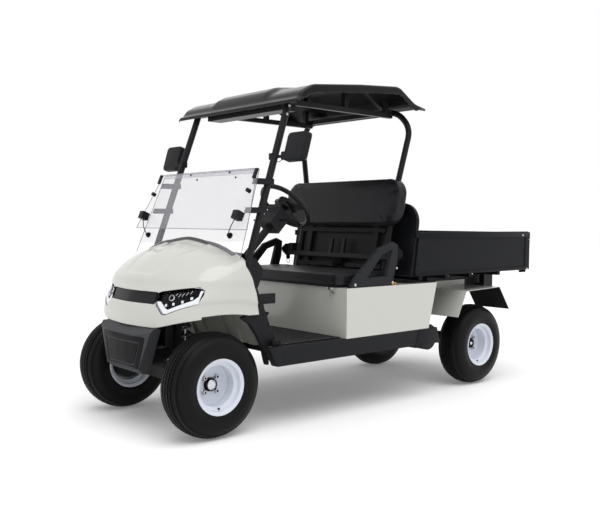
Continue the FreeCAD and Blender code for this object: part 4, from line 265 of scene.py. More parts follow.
for wheel, centre, side in wheels:
    mesh = bmesh.new()
    mesh.from_mesh(tyre_data)
    bmesh.ops.translate(mesh, verts=mesh.verts[:], vec=centre)
    put(f"{wheel}_turf_tyre", mesh, tyre_rubber, f"{wheel}_wheel", sharp=30,
        stands_for=(f"{wheel}_tyre",))

# The rims are rolled steel in glossy white enamel, each held by four nuts round
# a grease cap in a black ring. A rubber valve stands in the outer bead seat.
rim_white = finish("rim_white", (0.72, 0.76, 0.84), 0.22, grain=900, relief=0.02, drift=0.03, coat=0.4)
wear(rim_white, *[f"{wheel}_rim" for wheel, _, _ in wheels])
wear(hub_iron, *[f"{wheel}_hub" for wheel, _, _ in wheels])
rubber_black = finish("rubber_black", (0.008, 0.008, 0.008), 0.55, grain=500, relief=0.1, level=0.12)
DISC_FACE, NUT_CIRCLE, NUT_RADIUS, NUT_LONG, NUT_FLANGE = 0.4212, 0.0508, 0.0118, 0.0185, 0.003
CAP_RADIUS, CAP_FACE, CAP_DOME, CAP_COLLAR = 0.031, 0.4436, 0.0055, 0.012
CAP_SHARES = {"front": 0.88, "rear": 0.42}
VALVE_PLACE, VALVE_FACE, VALVE_TIP, VALVE_LEAN = (-0.008, -0.119), 0.462, (0.013, 0.003), 0.25
INLAY = 0.0004
for wheel, centre, side in wheels:
    nuts, dark, dome = bmesh.new(), bmesh.new(), bmesh.new()
    out = Vector((0, side, 0))
    hub = Vector((centre.x, 0, centre.z))
    for quarter in range(4):
        swing = math.radians(45 + 90 * quarter)
        seat = hub + Vector((math.cos(swing), 0, math.sin(swing))) * NUT_CIRCLE + out * DISC_FACE
        drum(nuts, seat, out, NUT_RADIUS * 1.3, NUT_FLANGE, top=NUT_RADIUS, soften=0.0004)
        drum(nuts, seat, out, NUT_RADIUS, NUT_LONG, top=NUT_RADIUS * 0.92, sides=6, soften=0.0012)
        # A flat dark disc on each nut's end is painted shade for the nut's hole.
        drum(dark, seat + out * NUT_LONG, out, NUT_RADIUS * 0.52, INLAY, sides=20)
    face = hub + out * DISC_FACE
    drum(dark, face, out, CAP_RADIUS + 0.0045, CAP_COLLAR, top=CAP_RADIUS + 0.002, soften=0.001)
    drum(dark, face, out, CAP_RADIUS + 0.001, CAP_FACE - DISC_FACE + INLAY, soften=0.001)
    cap_radius = CAP_RADIUS * CAP_SHARES[wheel.split("_")[0]]
    drum(dome, hub + out * CAP_FACE, out, cap_radius, CAP_DOME, top=cap_radius * 0.62, soften=0.0012)
    valve = hub + Vector((VALVE_PLACE[0], 0, VALVE_PLACE[1])) + out * VALVE_FACE
    leaning = (0, side, VALVE_LEAN)
    drum(dark, valve, leaning, 0.0085, 0.016, top=0.0065, sides=16, soften=0.001)
    tip = valve + Vector((0, side * VALVE_TIP[0], VALVE_TIP[1]))
    drum(dark, tip, leaning, 0.0050, 0.020, sides=12, soften=0.001)
    body = f"{wheel}_wheel"
    put(f"{wheel}_nuts", nuts, chrome, body)
    put(f"{wheel}_cap_ring", dark, rubber_black, body)
    put(f"{wheel}_grease_cap", dome, chrome, body)

# The sills are folded sheet in charcoal texture coat, each closed by a slanted
# piece at both ends, with a paler scuff strip along the floor's edge.
trim_black = finish("trim_black", (0.0125, 0.013, 0.015), 0.5, grain=900, relief=0.35, drift=0.08, level=0.13)
wear(trim_black, "sills", "side_panels")
SILL_FACE, SILL_INNER, SILL_LOW, SILL_HIGH = 0.55, 0.500, 0.329, 0.427
REAR_END = ((-0.262, SILL_HIGH - 0.002), (-0.222, SILL_LOW + 0.001), (-0.458, SILL_LOW + 0.001),
            (-0.425, SILL_HIGH - 0.002))
FRONT_END = ((0.8335, SILL_HIGH), (0.912, SILL_HIGH), (0.858, SILL_LOW), (0.8335, SILL_LOW))
END_PIECES = ((REAR_END, SILL_FACE + 0.0002, 0.0022), (FRONT_END, SILL_INNER, SILL_FACE - SILL_INNER))
STRIP_LOW, STRIP_HIGH, STRIP_SCREWS = (0.395, 0.486, 0.4268), (0.800, 0.5, 0.4335), (0.43, 0.60, 0.775)


def slab(mesh, low, high, soften=0.002, turn=None, about=(0, 0, 0)):
    """Add a block between two corners, with its edges eased, turned about a point where asked."""
    low, high = Vector(low), Vector(high)
    place = Matrix.Translation((low + high) / 2) @ Matrix.Diagonal((*(high - low), 1))
    made = bmesh.ops.create_cube(mesh, size=1, matrix=place)["verts"]
    if turn:
        bmesh.ops.rotate(mesh, cent=about, matrix=turn, verts=made)
    if soften:
        soften_edges(mesh, {edge for vert in made for edge in vert.link_edges}, soften)


def side_slab(mesh, side, low, high, soften):
    """Add a block given for the left side, or its mirror image on the right."""
    (x1, y1, z1), (x2, y2, z2) = low, high
    slab(mesh, (x1, min(side * y1, side * y2), z1), (x2, max(side * y1, side * y2), z2), soften)


def extruded(mesh, faces):
    """Extrude faces, and give the new points that are to be moved."""
    made = bmesh.ops.extrude_face_region(mesh, geom=faces)["geom"]
    return [part for part in made if isinstance(part, bmesh.types.BMVert)]


mesh, strips, screws = bmesh.new(), bmesh.new(), bmesh.new()
for side in SIDES:
    for outline, out, thick in END_PIECES:
        corners = [mesh.verts.new((ahead, side * out, high)) for ahead, high in outline]
        bmesh.ops.translate(mesh, verts=extruded(mesh, [mesh.faces.new(corners)]), vec=(0, side * thick, 0))
    side_slab(strips, side, STRIP_LOW, STRIP_HIGH, 0.0012)
    for ahead in STRIP_SCREWS:
        drum(screws, (ahead, side * 0.493, STRIP_HIGH[2]), UP, 0.0045, 0.0012, top=0.003, sides=16)
soften_edges(mesh, mesh.edges[:], 0.0008)
strip_grey = finish("strip_grey", (0.045, 0.048, 0.052), 0.5, grain=500, relief=0.2, drift=0.15, level=0.2)
put("sill_end_pieces", mesh, trim_black, "chassis")
put("sill_scuff_strips", strips, strip_grey, "chassis")
put("scuff_strip_screws", screws, rubber_black, "chassis")

# The floor mat is moulded black rubber with a close pattern of raised lozenges,
# cut square and turned down at its border.
mat_rubber = finish("mat_rubber", (0.017, 0.0175, 0.019), 0.55, grain=500, relief=0.3, drift=0.2, level=0.16)
MAT_REAR, MAT_FRONT, MAT_HALF, MAT_TOP, MAT_EDGE, MAT_TURN_DOWN = 0.381, 0.846, 0.484, 0.4322, 0.006, 0.0012
LOZENGE, LOZENGE_INSET, LOZENGE_RISE = 0.0145, 0.18, 0.0022
mesh = bmesh.new()
cells = math.ceil(1.5 * MAT_HALF * 2 / LOZENGE)
diagonal = Matrix.Translation(((MAT_REAR + MAT_FRONT) / 2, 0, MAT_TOP)) @ Matrix.Rotation(math.pi / 4, 4, "Z")
bmesh.ops.create_grid(mesh, x_segments=cells, y_segments=cells, size=cells * LOZENGE / 2, matrix=diagonal)
for edge, away in (((MAT_REAR + MAT_EDGE, 0, 0), (-1, 0, 0)), ((MAT_FRONT - MAT_EDGE, 0, 0), (1, 0, 0)),
                   ((0, MAT_HALF - MAT_EDGE, 0), (0, 1, 0)), ((0, MAT_EDGE - MAT_HALF, 0), (0, -1, 0))):
    bmesh.ops.bisect_plane(mesh, geom=mesh.verts[:] + mesh.edges[:] + mesh.faces[:], dist=1e-6,
                           plane_co=edge, plane_no=away, clear_outer=True)
whole = [face for face in mesh.faces if face.calc_area() > 0.5 * LOZENGE ** 2]
bmesh.ops.inset_individual(mesh, faces=whole, thickness=LOZENGE * LOZENGE_INSET, depth=LOZENGE_RISE,
                           use_even_offset=True)
border = bmesh.ops.extrude_edge_only(mesh, edges=[edge for edge in mesh.edges if edge.is_boundary])["geom"]
border = [part for part in border if isinstance(part, bmesh.types.BMVert)]
bmesh.ops.translate(mesh, verts=border, vec=(0, 0, -MAT_TURN_DOWN))
put("floor_mat_pattern", mesh, mat_rubber, "chassis", sharp=25, turn_out=False)

# The floor sheet is rubber up to the toe board, which is pressed sheet in the body's cream, a smooth
# and glossy acrylic with a light clear coat. On the toe board that cream is painted darker: painted
# shade for the footwell under the cowl.
body_cream = finish("body_cream", (0.645, 0.643, 0.600), 0.16, grain=60, relief=0.004, drift=0.015,
                    edge=0.002, coat=0.3, level=0.35)
# The toe board's colour is the body's cream darkened with painted shade.
TOE_BOARD, TOE_SHADED_CREAM = 0.8495, (0.37, 0.365, 0.335, 1)


def recoloured(material, name, colour, test):
    """A copy of a finish, in another colour where a test of the place holds, and the test's node."""
    copy = material.copy()
    copy.name = name
    tree = copy.node_tree
    place = next(node for node in tree.nodes if node.type == "TEX_COORD")
    old_tint = next(node for node in tree.nodes if node.type == "MIX")
    where = test(tree, add(tree, "SeparateXYZ", {"Vector": place.outputs["Object"]}).outputs)
    other_colour = add(tree, "Mix", {"Factor": where.outputs["Value"], "A": old_tint.outputs["Result"]},
                   {"B": colour}, data_type="RGBA")
    tree.links.new(other_colour.outputs["Result"], tree.nodes["Principled BSDF"].inputs["Base Color"])
    return copy, where


def on_toe_board(tree, place):
    """Whether a point lies on the toe board."""
    return add(tree, "Math", {0: place["X"]}, {1: TOE_BOARD}, operation="GREATER_THAN")


floor_sheet = recoloured(mat_rubber, "floor_sheet", TOE_SHADED_CREAM, on_toe_board)[0]
wear(floor_sheet, "floor_pan")

# The side panels are cast plates between the cowl and the sill. Two round
# headed bolts with hexagon sockets hold each to the strut's foot; each socket is a flat dark hexagon of
# painted shade.
PANEL_FACE, PANEL_SOCKET = 0.4700, 0.4763
PANEL_BOLTS = ((0.912, 0.666), (0.889, 0.600))
bolts, holes = bmesh.new(), bmesh.new()
for side in SIDES:
    out = (0, side, 0)
    for ahead, high in PANEL_BOLTS:
        seat = (ahead, side * PANEL_FACE, high)
        drum(bolts, seat, out, 0.0115, 0.0022, soften=0.0007)
        drum(bolts, seat, out, 0.0085, 0.0065, top=0.0060, soften=0.0014)
        # A flat dark hexagon on the bolt's head is painted shade for its socket.
        drum(holes, (ahead, side * PANEL_SOCKET, high), out, 0.0038, INLAY, sides=6)
put("panel_bolts", bolts, steel_black, "chassis")
put("panel_bolt_socket_shades", holes, rubber_black, "chassis")

# The seat box is folded cream sheet, and so are the rear fenders. A dark sheet over the fenders'
# down-facing faces is painted shade under the bed. A spring catch under the cushion's front holds the lid.
wear(body_cream, "seat_box", "rear_fenders")
wear(trim_black, "seat_board")
battery_case = finish("battery_case", (0.02, 0.02, 0.024), 0.5, grain=300, relief=0.2)
wear(battery_case, "battery_pack")
SHADE_SHEET_PROUD, SHADE_FACING_DOWN = 0.0006, -0.15
# The coat here is a dark sheet laid just proud of the fenders' down-facing faces: painted shade under the
# bed.
coat = bmesh.new()
coat.from_mesh(nodes["rear_fenders"].data)
bmesh.ops.delete(coat, geom=[face for face in coat.faces if face.normal.z > SHADE_FACING_DOWN], context="FACES")
coat.normal_update()
for vert in coat.verts:
    vert.co += vert.normal * SHADE_SHEET_PROUD
painted_under_shade = finish("painted_under_shade", (0.010, 0.0105, 0.012), 0.6, grain=300, relief=0.3, level=0.12)
put("rear_fender_painted_shade", coat, painted_under_shade, "chassis", turn_out=False)
CATCH = Vector((0.3775, 0.438, 0.684))
CATCH_PLATE = ((0, -0.026, -0.012), (0.003, 0.026, 0))
CATCH_TONGUE = ((0, -0.009, -0.024), (0.007, 0.009, -0.007))
CATCH_PIN = (0.007, 0, -0.018)
mesh = bmesh.new()
for (low, high), soften in ((CATCH_PLATE, 0.0008), (CATCH_TONGUE, 0.002)):
    slab(mesh, CATCH + Vector(low), CATCH + Vector(high), soften)
drum(mesh, CATCH + Vector(CATCH_PIN), (1, 0, 0), 0.0035, 0.002, soften=0.0005)
put("lid_catch", mesh, zinc, "chassis")

# The seat cushion is foam under black vinyl: a crowned pad with full round
# edges, flat only where it rests on its board.
vinyl_black = finish("vinyl_black", (0.0085, 0.009, 0.0115), 0.38, grain=520, relief=0.22, drift=0.12,
                     edge=0.001, level=0.22, sheen=0.03)
SWELL_PRESSURE, SWELL_FRAMES, WEAVE = 4.0, 20, 0.0075
VINYL_STRETCH, VINYL_BEND = 12, 2


def evaluated(piece):
    """The mesh of an object once its modifiers or its curve are worked out."""
    return bpy.data.meshes.new_from_object(piece.evaluated_get(bpy.context.evaluated_depsgraph_get()))


def stuffed(name, low, high, corner, held, cap, shape=None):
    """A cover blown up by its foam: it swells away from the board that holds it, by less than the cap."""
    low, high = Vector(low), Vector(high)
    mesh = bmesh.new()
    place = Matrix.Translation((low + high) / 2) @ Matrix.Diagonal((*(high - low), 1))
    bmesh.ops.create_cube(mesh, size=1, matrix=place)
    for axis, offset in corner:
        edges = [edge for edge in mesh.edges
                 if abs((edge.verts[0].co - edge.verts[1].co).normalized()[axis]) > 0.95
                 and edge.calc_length() > 0.5 * (high[axis] - low[axis])]
        soften_edges(mesh, edges, offset, segments=6)
    cover = bpy.data.meshes.new(name)
    mesh.to_mesh(cover)
    mesh.free()
    pad = linked(name, cover)
    cut = pad.modifiers.new("cut", "REMESH")
    cut.mode = "VOXEL"
    cut.voxel_size = WEAVE
    even = evaluated(pad)
    pad.modifiers.clear()
    pad.data = even
    rest = [vert.co.copy() for vert in even.vertices]
    pins = pad.vertex_groups.new(name="held")
    pins.add([index for index, spot in enumerate(rest) if held(spot)], 1.0, "REPLACE")
    cloth = pad.modifiers.new("foam", "CLOTH")
    cloth.settings.use_pressure = True
    cloth.settings.uniform_pressure_force = SWELL_PRESSURE
    cloth.settings.tension_stiffness = VINYL_STRETCH
    cloth.settings.bending_stiffness = VINYL_BEND
    cloth.settings.vertex_group_mass = "held"
    cloth.settings.effector_weights.gravity = 0
    cloth.point_cache.frame_end = SWELL_FRAMES
    for step in range(1, SWELL_FRAMES + 1):
        bpy.context.scene.frame_set(step)
    blown = evaluated(pad)
    pad.modifiers.clear()
    bpy.context.scene.frame_set(1)
    pad.data = blown
    for vert, start in zip(blown.vertices, rest):
        moved = vert.co - start
        vert.co = start + moved * cap / (cap + moved.length)
    if shape:
        for vert in pad.data.vertices:
            vert.co = shape(vert.co)
    smooth = pad.modifiers.new("smooth", "SUBSURF")
    smooth.levels = smooth.render_levels = 1
    final = evaluated(pad)
    pad.modifiers.clear()
    pad.vertex_groups.clear()
    pad.data = final
    final.shade_smooth()
    return pad


SEAT_LOW, SEAT_HIGH, SEAT_SWELL = Vector((-0.062, -0.494, 0.7192)), Vector((0.377, 0.494, 0.782)), 0.008
SEAT_ROUND, SEAT_EDGE, PAD_HELD = 0.055, 0.024, 0.008
seat_pad = stuffed("seat_cushion_cover", SEAT_LOW, SEAT_HIGH,
                   ((2, SEAT_ROUND), (0, SEAT_EDGE), (1, SEAT_EDGE)),
                   lambda spot: spot.z < SEAT_LOW.z + PAD_HELD, SEAT_SWELL)
seat_pad.data.materials.append(vinyl_black)
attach(seat_pad, "seat")
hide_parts("seat_cushion")

# The back rest is the same vinyl over thicker foam, round at its corners and
# screwed to the leaning posts.
BACK_CENTRE, BACK_LEAN = Vector((-0.129, 0, 1.197)), math.radians(11.1)
BACK_HALF, BACK_SWELL = Vector((0.034, 0.514, 0.146)), 0.012
BACK_ROUND, BACK_EDGE = 0.105, 0.026
back_turn = Matrix.Rotation(-BACK_LEAN, 3, "Y")
back_pad = stuffed("backrest_cover", -BACK_HALF, BACK_HALF, ((0, BACK_ROUND), (1, BACK_EDGE), (2, BACK_EDGE)),
                   lambda spot: spot.x < PAD_HELD - BACK_HALF.x, BACK_SWELL,
                   shape=lambda spot: BACK_CENTRE + back_turn @ spot)
back_pad.data.materials.append(vinyl_black)
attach(back_pad, "chassis")
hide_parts("backrest_cushion")

# Behind the seat stand two steel posts with a panel and a belt bar across them,
# which carries two buckles on webbing stalks and a retractor at each end.
back_steel = finish("back_steel", (0.014, 0.0145, 0.0165), 0.48, grain=600, relief=0.2, level=0.14)
wear(back_steel, "seat_back_frame")
wear(steel_black, "belt_bar")
webbing = finish("webbing", (0.006, 0.006, 0.007), 0.7, grain=1500, relief=0.6, edge=0.0005, level=0.12)
BUCKLES, BUCKLE_FOOT = ((-0.012, -14), (0.040, 16)), (-0.085, 0.80)
RETRACTOR, RETRACTOR_BOX = (-0.099, 0.511, 0.886), ((-0.120, 0.474, 0.846), (-0.078, 0.512, 0.924))
GUIDE_BOX = ((-0.112, 0.484, 0.820), (-0.088, 0.503, 0.850))
RING, RING_RADIUS, RING_WIRE, RING_STEPS = (-0.100, 0.4935, 0.806), 0.014, 0.0022, 12


def bar(mesh, route, radius, order=3, sides=3, closed=False):
    """Add a round bar that follows a smooth line through its route."""
    line = bpy.data.curves.new("bar", "CURVE")
    line.dimensions = "3D"
    line.bevel_depth = radius
    line.bevel_resolution = sides
    line.use_fill_caps = not closed
    spline = line.splines.new("NURBS")
    spline.points.add(len(route) - 1)
    for knot, spot in zip(spline.points, route):
        knot.co = (*spot, 1)
    spline.use_cyclic_u = closed
    spline.order_u = order
    spline.use_endpoint_u = not closed
    spline.resolution_u = 6
    holder = linked("bar", line)
    data = evaluated(holder)
    mesh.from_mesh(data)
    bpy.data.objects.remove(holder)
    bpy.data.curves.remove(line)
    bpy.data.meshes.remove(data)


mesh, latches = bmesh.new(), bmesh.new()
for out, lean in BUCKLES:
    turn = Matrix.Rotation(math.radians(lean), 3, "X")
    for target, half, (rear, front), (low, high), soften in (
            (mesh, 0.021, (-0.0935, -0.0755), (0.802, 0.872), 0.005),
            (mesh, 0.024, (-0.0885, -0.0845), (0.770, 0.812), 0.001),
            (latches, 0.014, (-0.0915, -0.0775), (0.8715, 0.8755), 0.0008)):
        slab(target, (rear, out - half, low), (front, out + half, high), soften, turn=turn,
             about=(BUCKLE_FOOT[0], out, BUCKLE_FOOT[1]))
ring_turns = [2 * math.pi * step / RING_STEPS for step in range(RING_STEPS)]
for side in SIDES:
    side_slab(mesh, side, *RETRACTOR_BOX, 0.008)
    drum(mesh, (RETRACTOR[0], side * RETRACTOR[1], RETRACTOR[2]), (0, side, 0), 0.030, 0.016, soften=0.004)
    side_slab(mesh, side, *GUIDE_BOX, 0.003)
    ring = [(RING[0], side * (RING[1] + RING_RADIUS * math.sin(turn)), RING[2] - RING_RADIUS * math.cos(turn))
            for turn in ring_turns]
    bar(mesh, ring, RING_WIRE, closed=True)
put("belt_buckles", mesh, webbing, "chassis")
put("belt_latches", latches, zinc, "chassis")

# The hip restraints are cast loops in charcoal coat, one at each end of the
# seat, each on two bolts, with yellow rubber bushes behind its foot.
hip_coat = finish("hip_coat", (0.017, 0.018, 0.021), 0.5, grain=900, relief=0.3, edge=0.004, level=0.15)
wear(hip_coat, "hip_restraints")
bush_yellow = finish("bush_yellow", (0.72, 0.36, 0.015), 0.4, grain=400, relief=0.1, drift=0.15)
BUSH_LINE, HIP_STUD = (0.520, 0.7065), (-0.052, 0.5430, 0.806)
HIP_BOLTS = ((-0.020, 0.5425, 0.7225), (0.290, 0.5425, 0.7225))
bushes, feet = bmesh.new(), bmesh.new()
for side in SIDES:
    drum(bushes, (-0.040, side * BUSH_LINE[0], BUSH_LINE[1]), UP, 0.010, 0.022, top=0.0085, soften=0.0015)
    drum(bushes, (-0.066, side * BUSH_LINE[0], BUSH_LINE[1]), UP, 0.007, 0.014, soften=0.0015)
    for ahead, out, high in HIP_BOLTS:
        bolt(feet, (ahead, side * out, high), (0, side, 0), 0.0065, 0.5)
    drum(feet, (HIP_STUD[0], side * HIP_STUD[1], HIP_STUD[2]), (0, side, 0), 0.007, 0.004, soften=0.001)
put("hip_restraint_bushes", bushes, bush_yellow, "chassis")
put("hip_restraint_bolts", feet, zinc, "chassis")

# The roof hoop and the front struts are bent steel tube. Two bolts clamp each
# strut's head to the roof's bearer.
wear(steel_black, "rear_roof_hoop", "front_struts", "roof_bearers")
STRUT_BOLTS, STRUT_BOLT_RADIUS = ((0.6985, 0.4435, 1.686), (0.7155, 0.4455, 1.640)), 0.0055
mesh = bmesh.new()
for side in SIDES:
    for ahead, out, high in STRUT_BOLTS:
        bolt(mesh, (ahead, side * out, high), (0, side, 0), STRUT_BOLT_RADIUS, 0.5)
put("strut_head_bolts", mesh, zinc, "chassis")

# The roof is one sheet of glossy black acrylic, drawn down over a mould: its
# middle stands up, its front edge turns down in a lip and its sides in skirts.
ROOF_REAR, ROOF_LONG, ROOF_LOW, ROOF_RISE, ROOF_HALF = -0.285, 1.033, 1.709, 0.153, 0.55
ROOF_SHARES = ((0.0, 0.346), (0.085, 0.444), (0.2227, 1.0), (0.5276, 0.8366), (0.876, 0.575), (0.9535, 0.3),
               (0.975, 0.06), (1.0, 0.0))
ROOF_SHEET, ROOF_LIP, ROOF_SKIRT, ROOF_CORNER = 0.005, 0.0198, 0.046, 0.017
ROOF_MIDDLE, ROOF_RAMP_START, ROOF_RAMP = 0.020, 0.29, 0.065
ROOF_REAR_EASE, ROOF_FRONT_EASE = (0.03, 0.07), (0.022, 0.05)
ROOF_BEND, ROOF_BEAD, ROOF_BEAD_LIFT, ROOF_LANES, CORNER_LANES = 0.030, 0.0042, 0.003, 40, 6


def rounded(points, bend, steps=7):
    """A bent line whose bends are eased into arcs."""
    points = [Vector(point) for point in points]
    shares = [step / steps for step in range(steps + 1)]
    run = [points[0]]
    for before, at, after in zip(points, points[1:], points[2:]):
        start = at.lerp(before, min(0.45, bend / (at - before).length))
        end = at.lerp(after, min(0.45, bend / (at - after).length))
        run += [start.lerp(at, share).lerp(at.lerp(end, share), share) for share in shares]
    return run + [points[-1]]


def ease(share):
    """A smooth step from 0 to 1."""
    share = max(0.0, min(1.0, share))
    return share * share * (3 - 2 * share)


def draped(mesh, along, across, place):
    """A grid whose points are put where their place along and across says."""
    bmesh.ops.create_grid(mesh, x_segments=len(along) - 1, y_segments=len(across) - 1, size=0.5)
    for vert in mesh.verts:
        vert.co = place(along[round((vert.co.x + 0.5) * (len(along) - 1))],
                        across[round((vert.co.y + 0.5) * (len(across) - 1))])


def roof_place(spot, lane):
    """A point of the roof, from its place on the arch and its lane across."""
    out, fall, share = lane
    ahead, high = spot
    from_rear = (ahead - ROOF_REAR - ROOF_REAR_EASE[0]) / ROOF_REAR_EASE[1]
    from_front = (ROOF_REAR + ROOF_LONG - ROOF_FRONT_EASE[0] - ahead) / ROOF_FRONT_EASE[1]
    ends = ease(from_rear) * ease(from_front)
    skirt = ROOF_LIP + (ROOF_SKIRT - ROOF_LIP) * ends
    lifted = ROOF_MIDDLE * ends * ease((ROOF_RAMP_START - abs(out)) / ROOF_RAMP)
    lowered = high + lifted - fall - share * max(0.0, skirt - ROOF_CORNER)
    return Vector((ahead, out, max(lowered, ROOF_LOW - ROOF_LIP)))


arch = [(ROOF_REAR + ROOF_LONG * ahead, ROOF_LOW + ROOF_RISE * high) for ahead, high in ROOF_SHARES]
arch_run = rounded(arch + [(ROOF_REAR + ROOF_LONG, ROOF_LOW - ROOF_LIP)], ROOF_BEND)
flat_lanes = [(step / ROOF_LANES * (ROOF_HALF - ROOF_CORNER), 0, 0) for step in range(ROOF_LANES + 1)]
corner_lanes = [(ROOF_HALF - ROOF_CORNER * (1 - math.sin(turn)), ROOF_CORNER * (1 - math.cos(turn)), 0)
                for turn in [math.pi / 2 * step / CORNER_LANES for step in range(1, CORNER_LANES + 1)]]
half_lanes = flat_lanes + corner_lanes + [(ROOF_HALF, ROOF_CORNER, share) for share in (0.5, 1.0)]
lanes = [(-out, fall, share) for out, fall, share in reversed(half_lanes[1:])] + half_lanes
roof_black = finish("roof_black", (0.003, 0.003, 0.0045), 0.08, grain=30, relief=0.004, drift=0.1, level=0.20)
roof_under = finish("roof_under", (0.007, 0.007, 0.008), 0.5, grain=500, relief=0.2, level=0.08)
mesh = bmesh.new()
draped(mesh, arch_run, lanes, roof_place)
roof = put("roof_sheet", mesh, roof_black, "chassis", sharp=60, stands_for=("roof",),
           turn_out=False)
wall = roof.modifiers.new("wall", "SOLIDIFY")
wall.thickness, wall.offset = ROOF_SHEET, -1
wall.use_even_offset = True
roof.data.materials.append(roof_under)
wall.material_offset = 1
mesh = bmesh.new()
for lane in (lanes[0], lanes[-1]):
    bar(mesh, [roof_place(spot, lane) + UP * ROOF_BEAD_LIFT for spot in arch_run[3:-10]], ROOF_BEAD, sides=4)
put("roof_edge_beads", mesh, roof_black, "chassis")

# The cowl is one moulded cream shell. Its flat top is raised inside a soft
# crease, and it is open for the grille, the lamps and the wheels.
COWL_PIVOT, COWL_REACH, COWL_HALF, COWL_FOOT = Vector((0.8, 0, 0.47)), 0.641, 0.498, 0.090
COWL_SHARES = ((0.033, 0.968), (0.061, 0.972), (0.131, 0.988), (0.184, 0.993), (0.238, 1.0), (0.299, 1.0),
               (0.359, 0.992), (0.418, 0.977), (0.489, 0.955), (0.573, 0.916), (0.647, 0.887), (0.713, 0.867),
               (0.867, 0.819), (1.0, 0.78))
COWL_FALLS, COWL_SQUARES = (0.13, 0.2), (6, 11)
COWL_ROWS, COWL_STEPS, COWL_WALL = 130, 150, 0.004
CREASE_RISE, CREASE_RAMP, CREASE_HALF, CREASE_FLARE = 0.0075, 0.015, 0.168, 0.030
CREASE_REAR, CREASE_FLARE_LONG, CREASE_FRONT_HIGH, CREASE_ROUND = 1.10, 0.16, 0.797, 0.05
CREASE_FADE, FLARE_SIDE = (0.74, 0.04), (0.37, 0.07)
FLARE_RISE, FLARE_HIGH, FLARE_RAMP = 0.008, 0.076, 0.024
NOSE_FROM, OPENINGS_FROM, LIP_BELOW = 1.05, 1.1, 0.64


def cowl_reach(turn_share):
    """The cowl's reach from its pivot, drawn smoothly through its shares."""
    last = len(COWL_SHARES) - 1
    at_least = max(turn_share, COWL_SHARES[0][0])
    spot = max(index for index, (share, _) in enumerate(COWL_SHARES[:-1]) if share <= at_least)
    (left, low), (right, high) = COWL_SHARES[spot], COWL_SHARES[spot + 1]
    slopes = []
    for index in (spot, spot + 1):
        before, after = COWL_SHARES[max(index - 1, 0)], COWL_SHARES[min(index + 1, last)]
        slopes.append((after[1] - before[1]) / (after[0] - before[0]))
    width, share = right - left, (turn_share - left) / (right - left)
    return (low * (2 * share ** 3 - 3 * share ** 2 + 1) + high * (3 * share ** 2 - 2 * share ** 3)
            + width * slopes[0] * (share ** 3 - 2 * share ** 2 + share)
            + width * slopes[1] * (share ** 3 - share ** 2))


def cowl_place(turn_share, step_share):
    """A point of the cowl: sections that fan out about a line across, each a squared half ring."""
    square = COWL_SQUARES[0] + turn_share * (COWL_SQUARES[1] - COWL_SQUARES[0])
    fall = COWL_FALLS[0] + turn_share * (COWL_FALLS[1] - COWL_FALLS[0])
    turn = turn_share * math.pi / 2
    reach = cowl_reach(turn_share) * COWL_REACH
    swing = math.atan2(reach * (1 - fall), COWL_FOOT) * abs(step_share)
    ring = (math.sin(swing) ** square + math.cos(swing) ** square) ** (-1 / square)
    side_share = ring * math.sin(swing)
    out = reach * ring * math.cos(swing) * (1 - fall * side_share ** 1.5)
    across = math.copysign(COWL_HALF * side_share, step_share)
    return COWL_PIVOT + Vector((out * math.cos(turn), across, out * math.sin(turn)))


def crease(spot):
    """How far inside the raised top panel a point of the cowl lies."""
    half = CREASE_HALF + CREASE_FLARE * ease((CREASE_REAR + CREASE_FLARE_LONG - spot.x) / CREASE_FLARE_LONG)
    inside = half - abs(spot.y)
    above = spot.z - CREASE_FRONT_HIGH
    if inside < CREASE_ROUND and above < CREASE_ROUND:
        depth = CREASE_ROUND - math.hypot(CREASE_ROUND - inside, CREASE_ROUND - above)
    else:
        depth = min(inside, above)
    return ease(0.5 + depth / CREASE_RAMP)


def score(mesh, point, normal, near):
    """Cut a line across the faces near a place, without parting them."""
    faces = [face for face in mesh.faces if near(face.calc_center_median())]
    edges = {edge for face in faces for edge in face.edges}
    verts = {vert for face in faces for vert in face.verts}
    bmesh.ops.bisect_plane(mesh, geom=[*faces, *edges, *verts], dist=1e-6, plane_co=point, plane_no=normal)


def runs(outline):
    """The straight runs round a closed outline."""
    return zip(outline, outline[1:] + outline[:1])


def within(outline, spot):
    """Whether a point lies inside an outline drawn across and up."""
    inside = False
    for (y1, z1), (y2, z2) in runs(outline):
        if (z1 > spot[1]) != (z2 > spot[1]) and spot[0] < y1 + (spot[1] - z1) * (y2 - y1) / (z2 - z1):
            inside = not inside
    return inside


def extent(outline, margin=0.0):
    """The lowest and highest places across and up of an outline, with a margin."""
    return [limit for places in zip(*outline) for limit in (min(places) - margin, max(places) + margin)]


def score_outline(mesh, outline, margin=0.02):
    """Cut an outline, drawn across and up, into the faces that it crosses."""
    low_y, high_y, low_z, high_z = extent(outline, margin)
    for (y1, z1), (y2, z2) in runs(outline):
        score(mesh, (0, y1, z1), (0, z2 - z1, y1 - y2),
              lambda spot: low_y < spot.y < high_y and low_z < spot.z < high_z and spot.x > NOSE_FROM)


def in_metres(outline, side=1):
    """An outline given in millimetres, on one side of the cart."""
    return [(side * out / 1000, high / 1000) for out, high in outline]


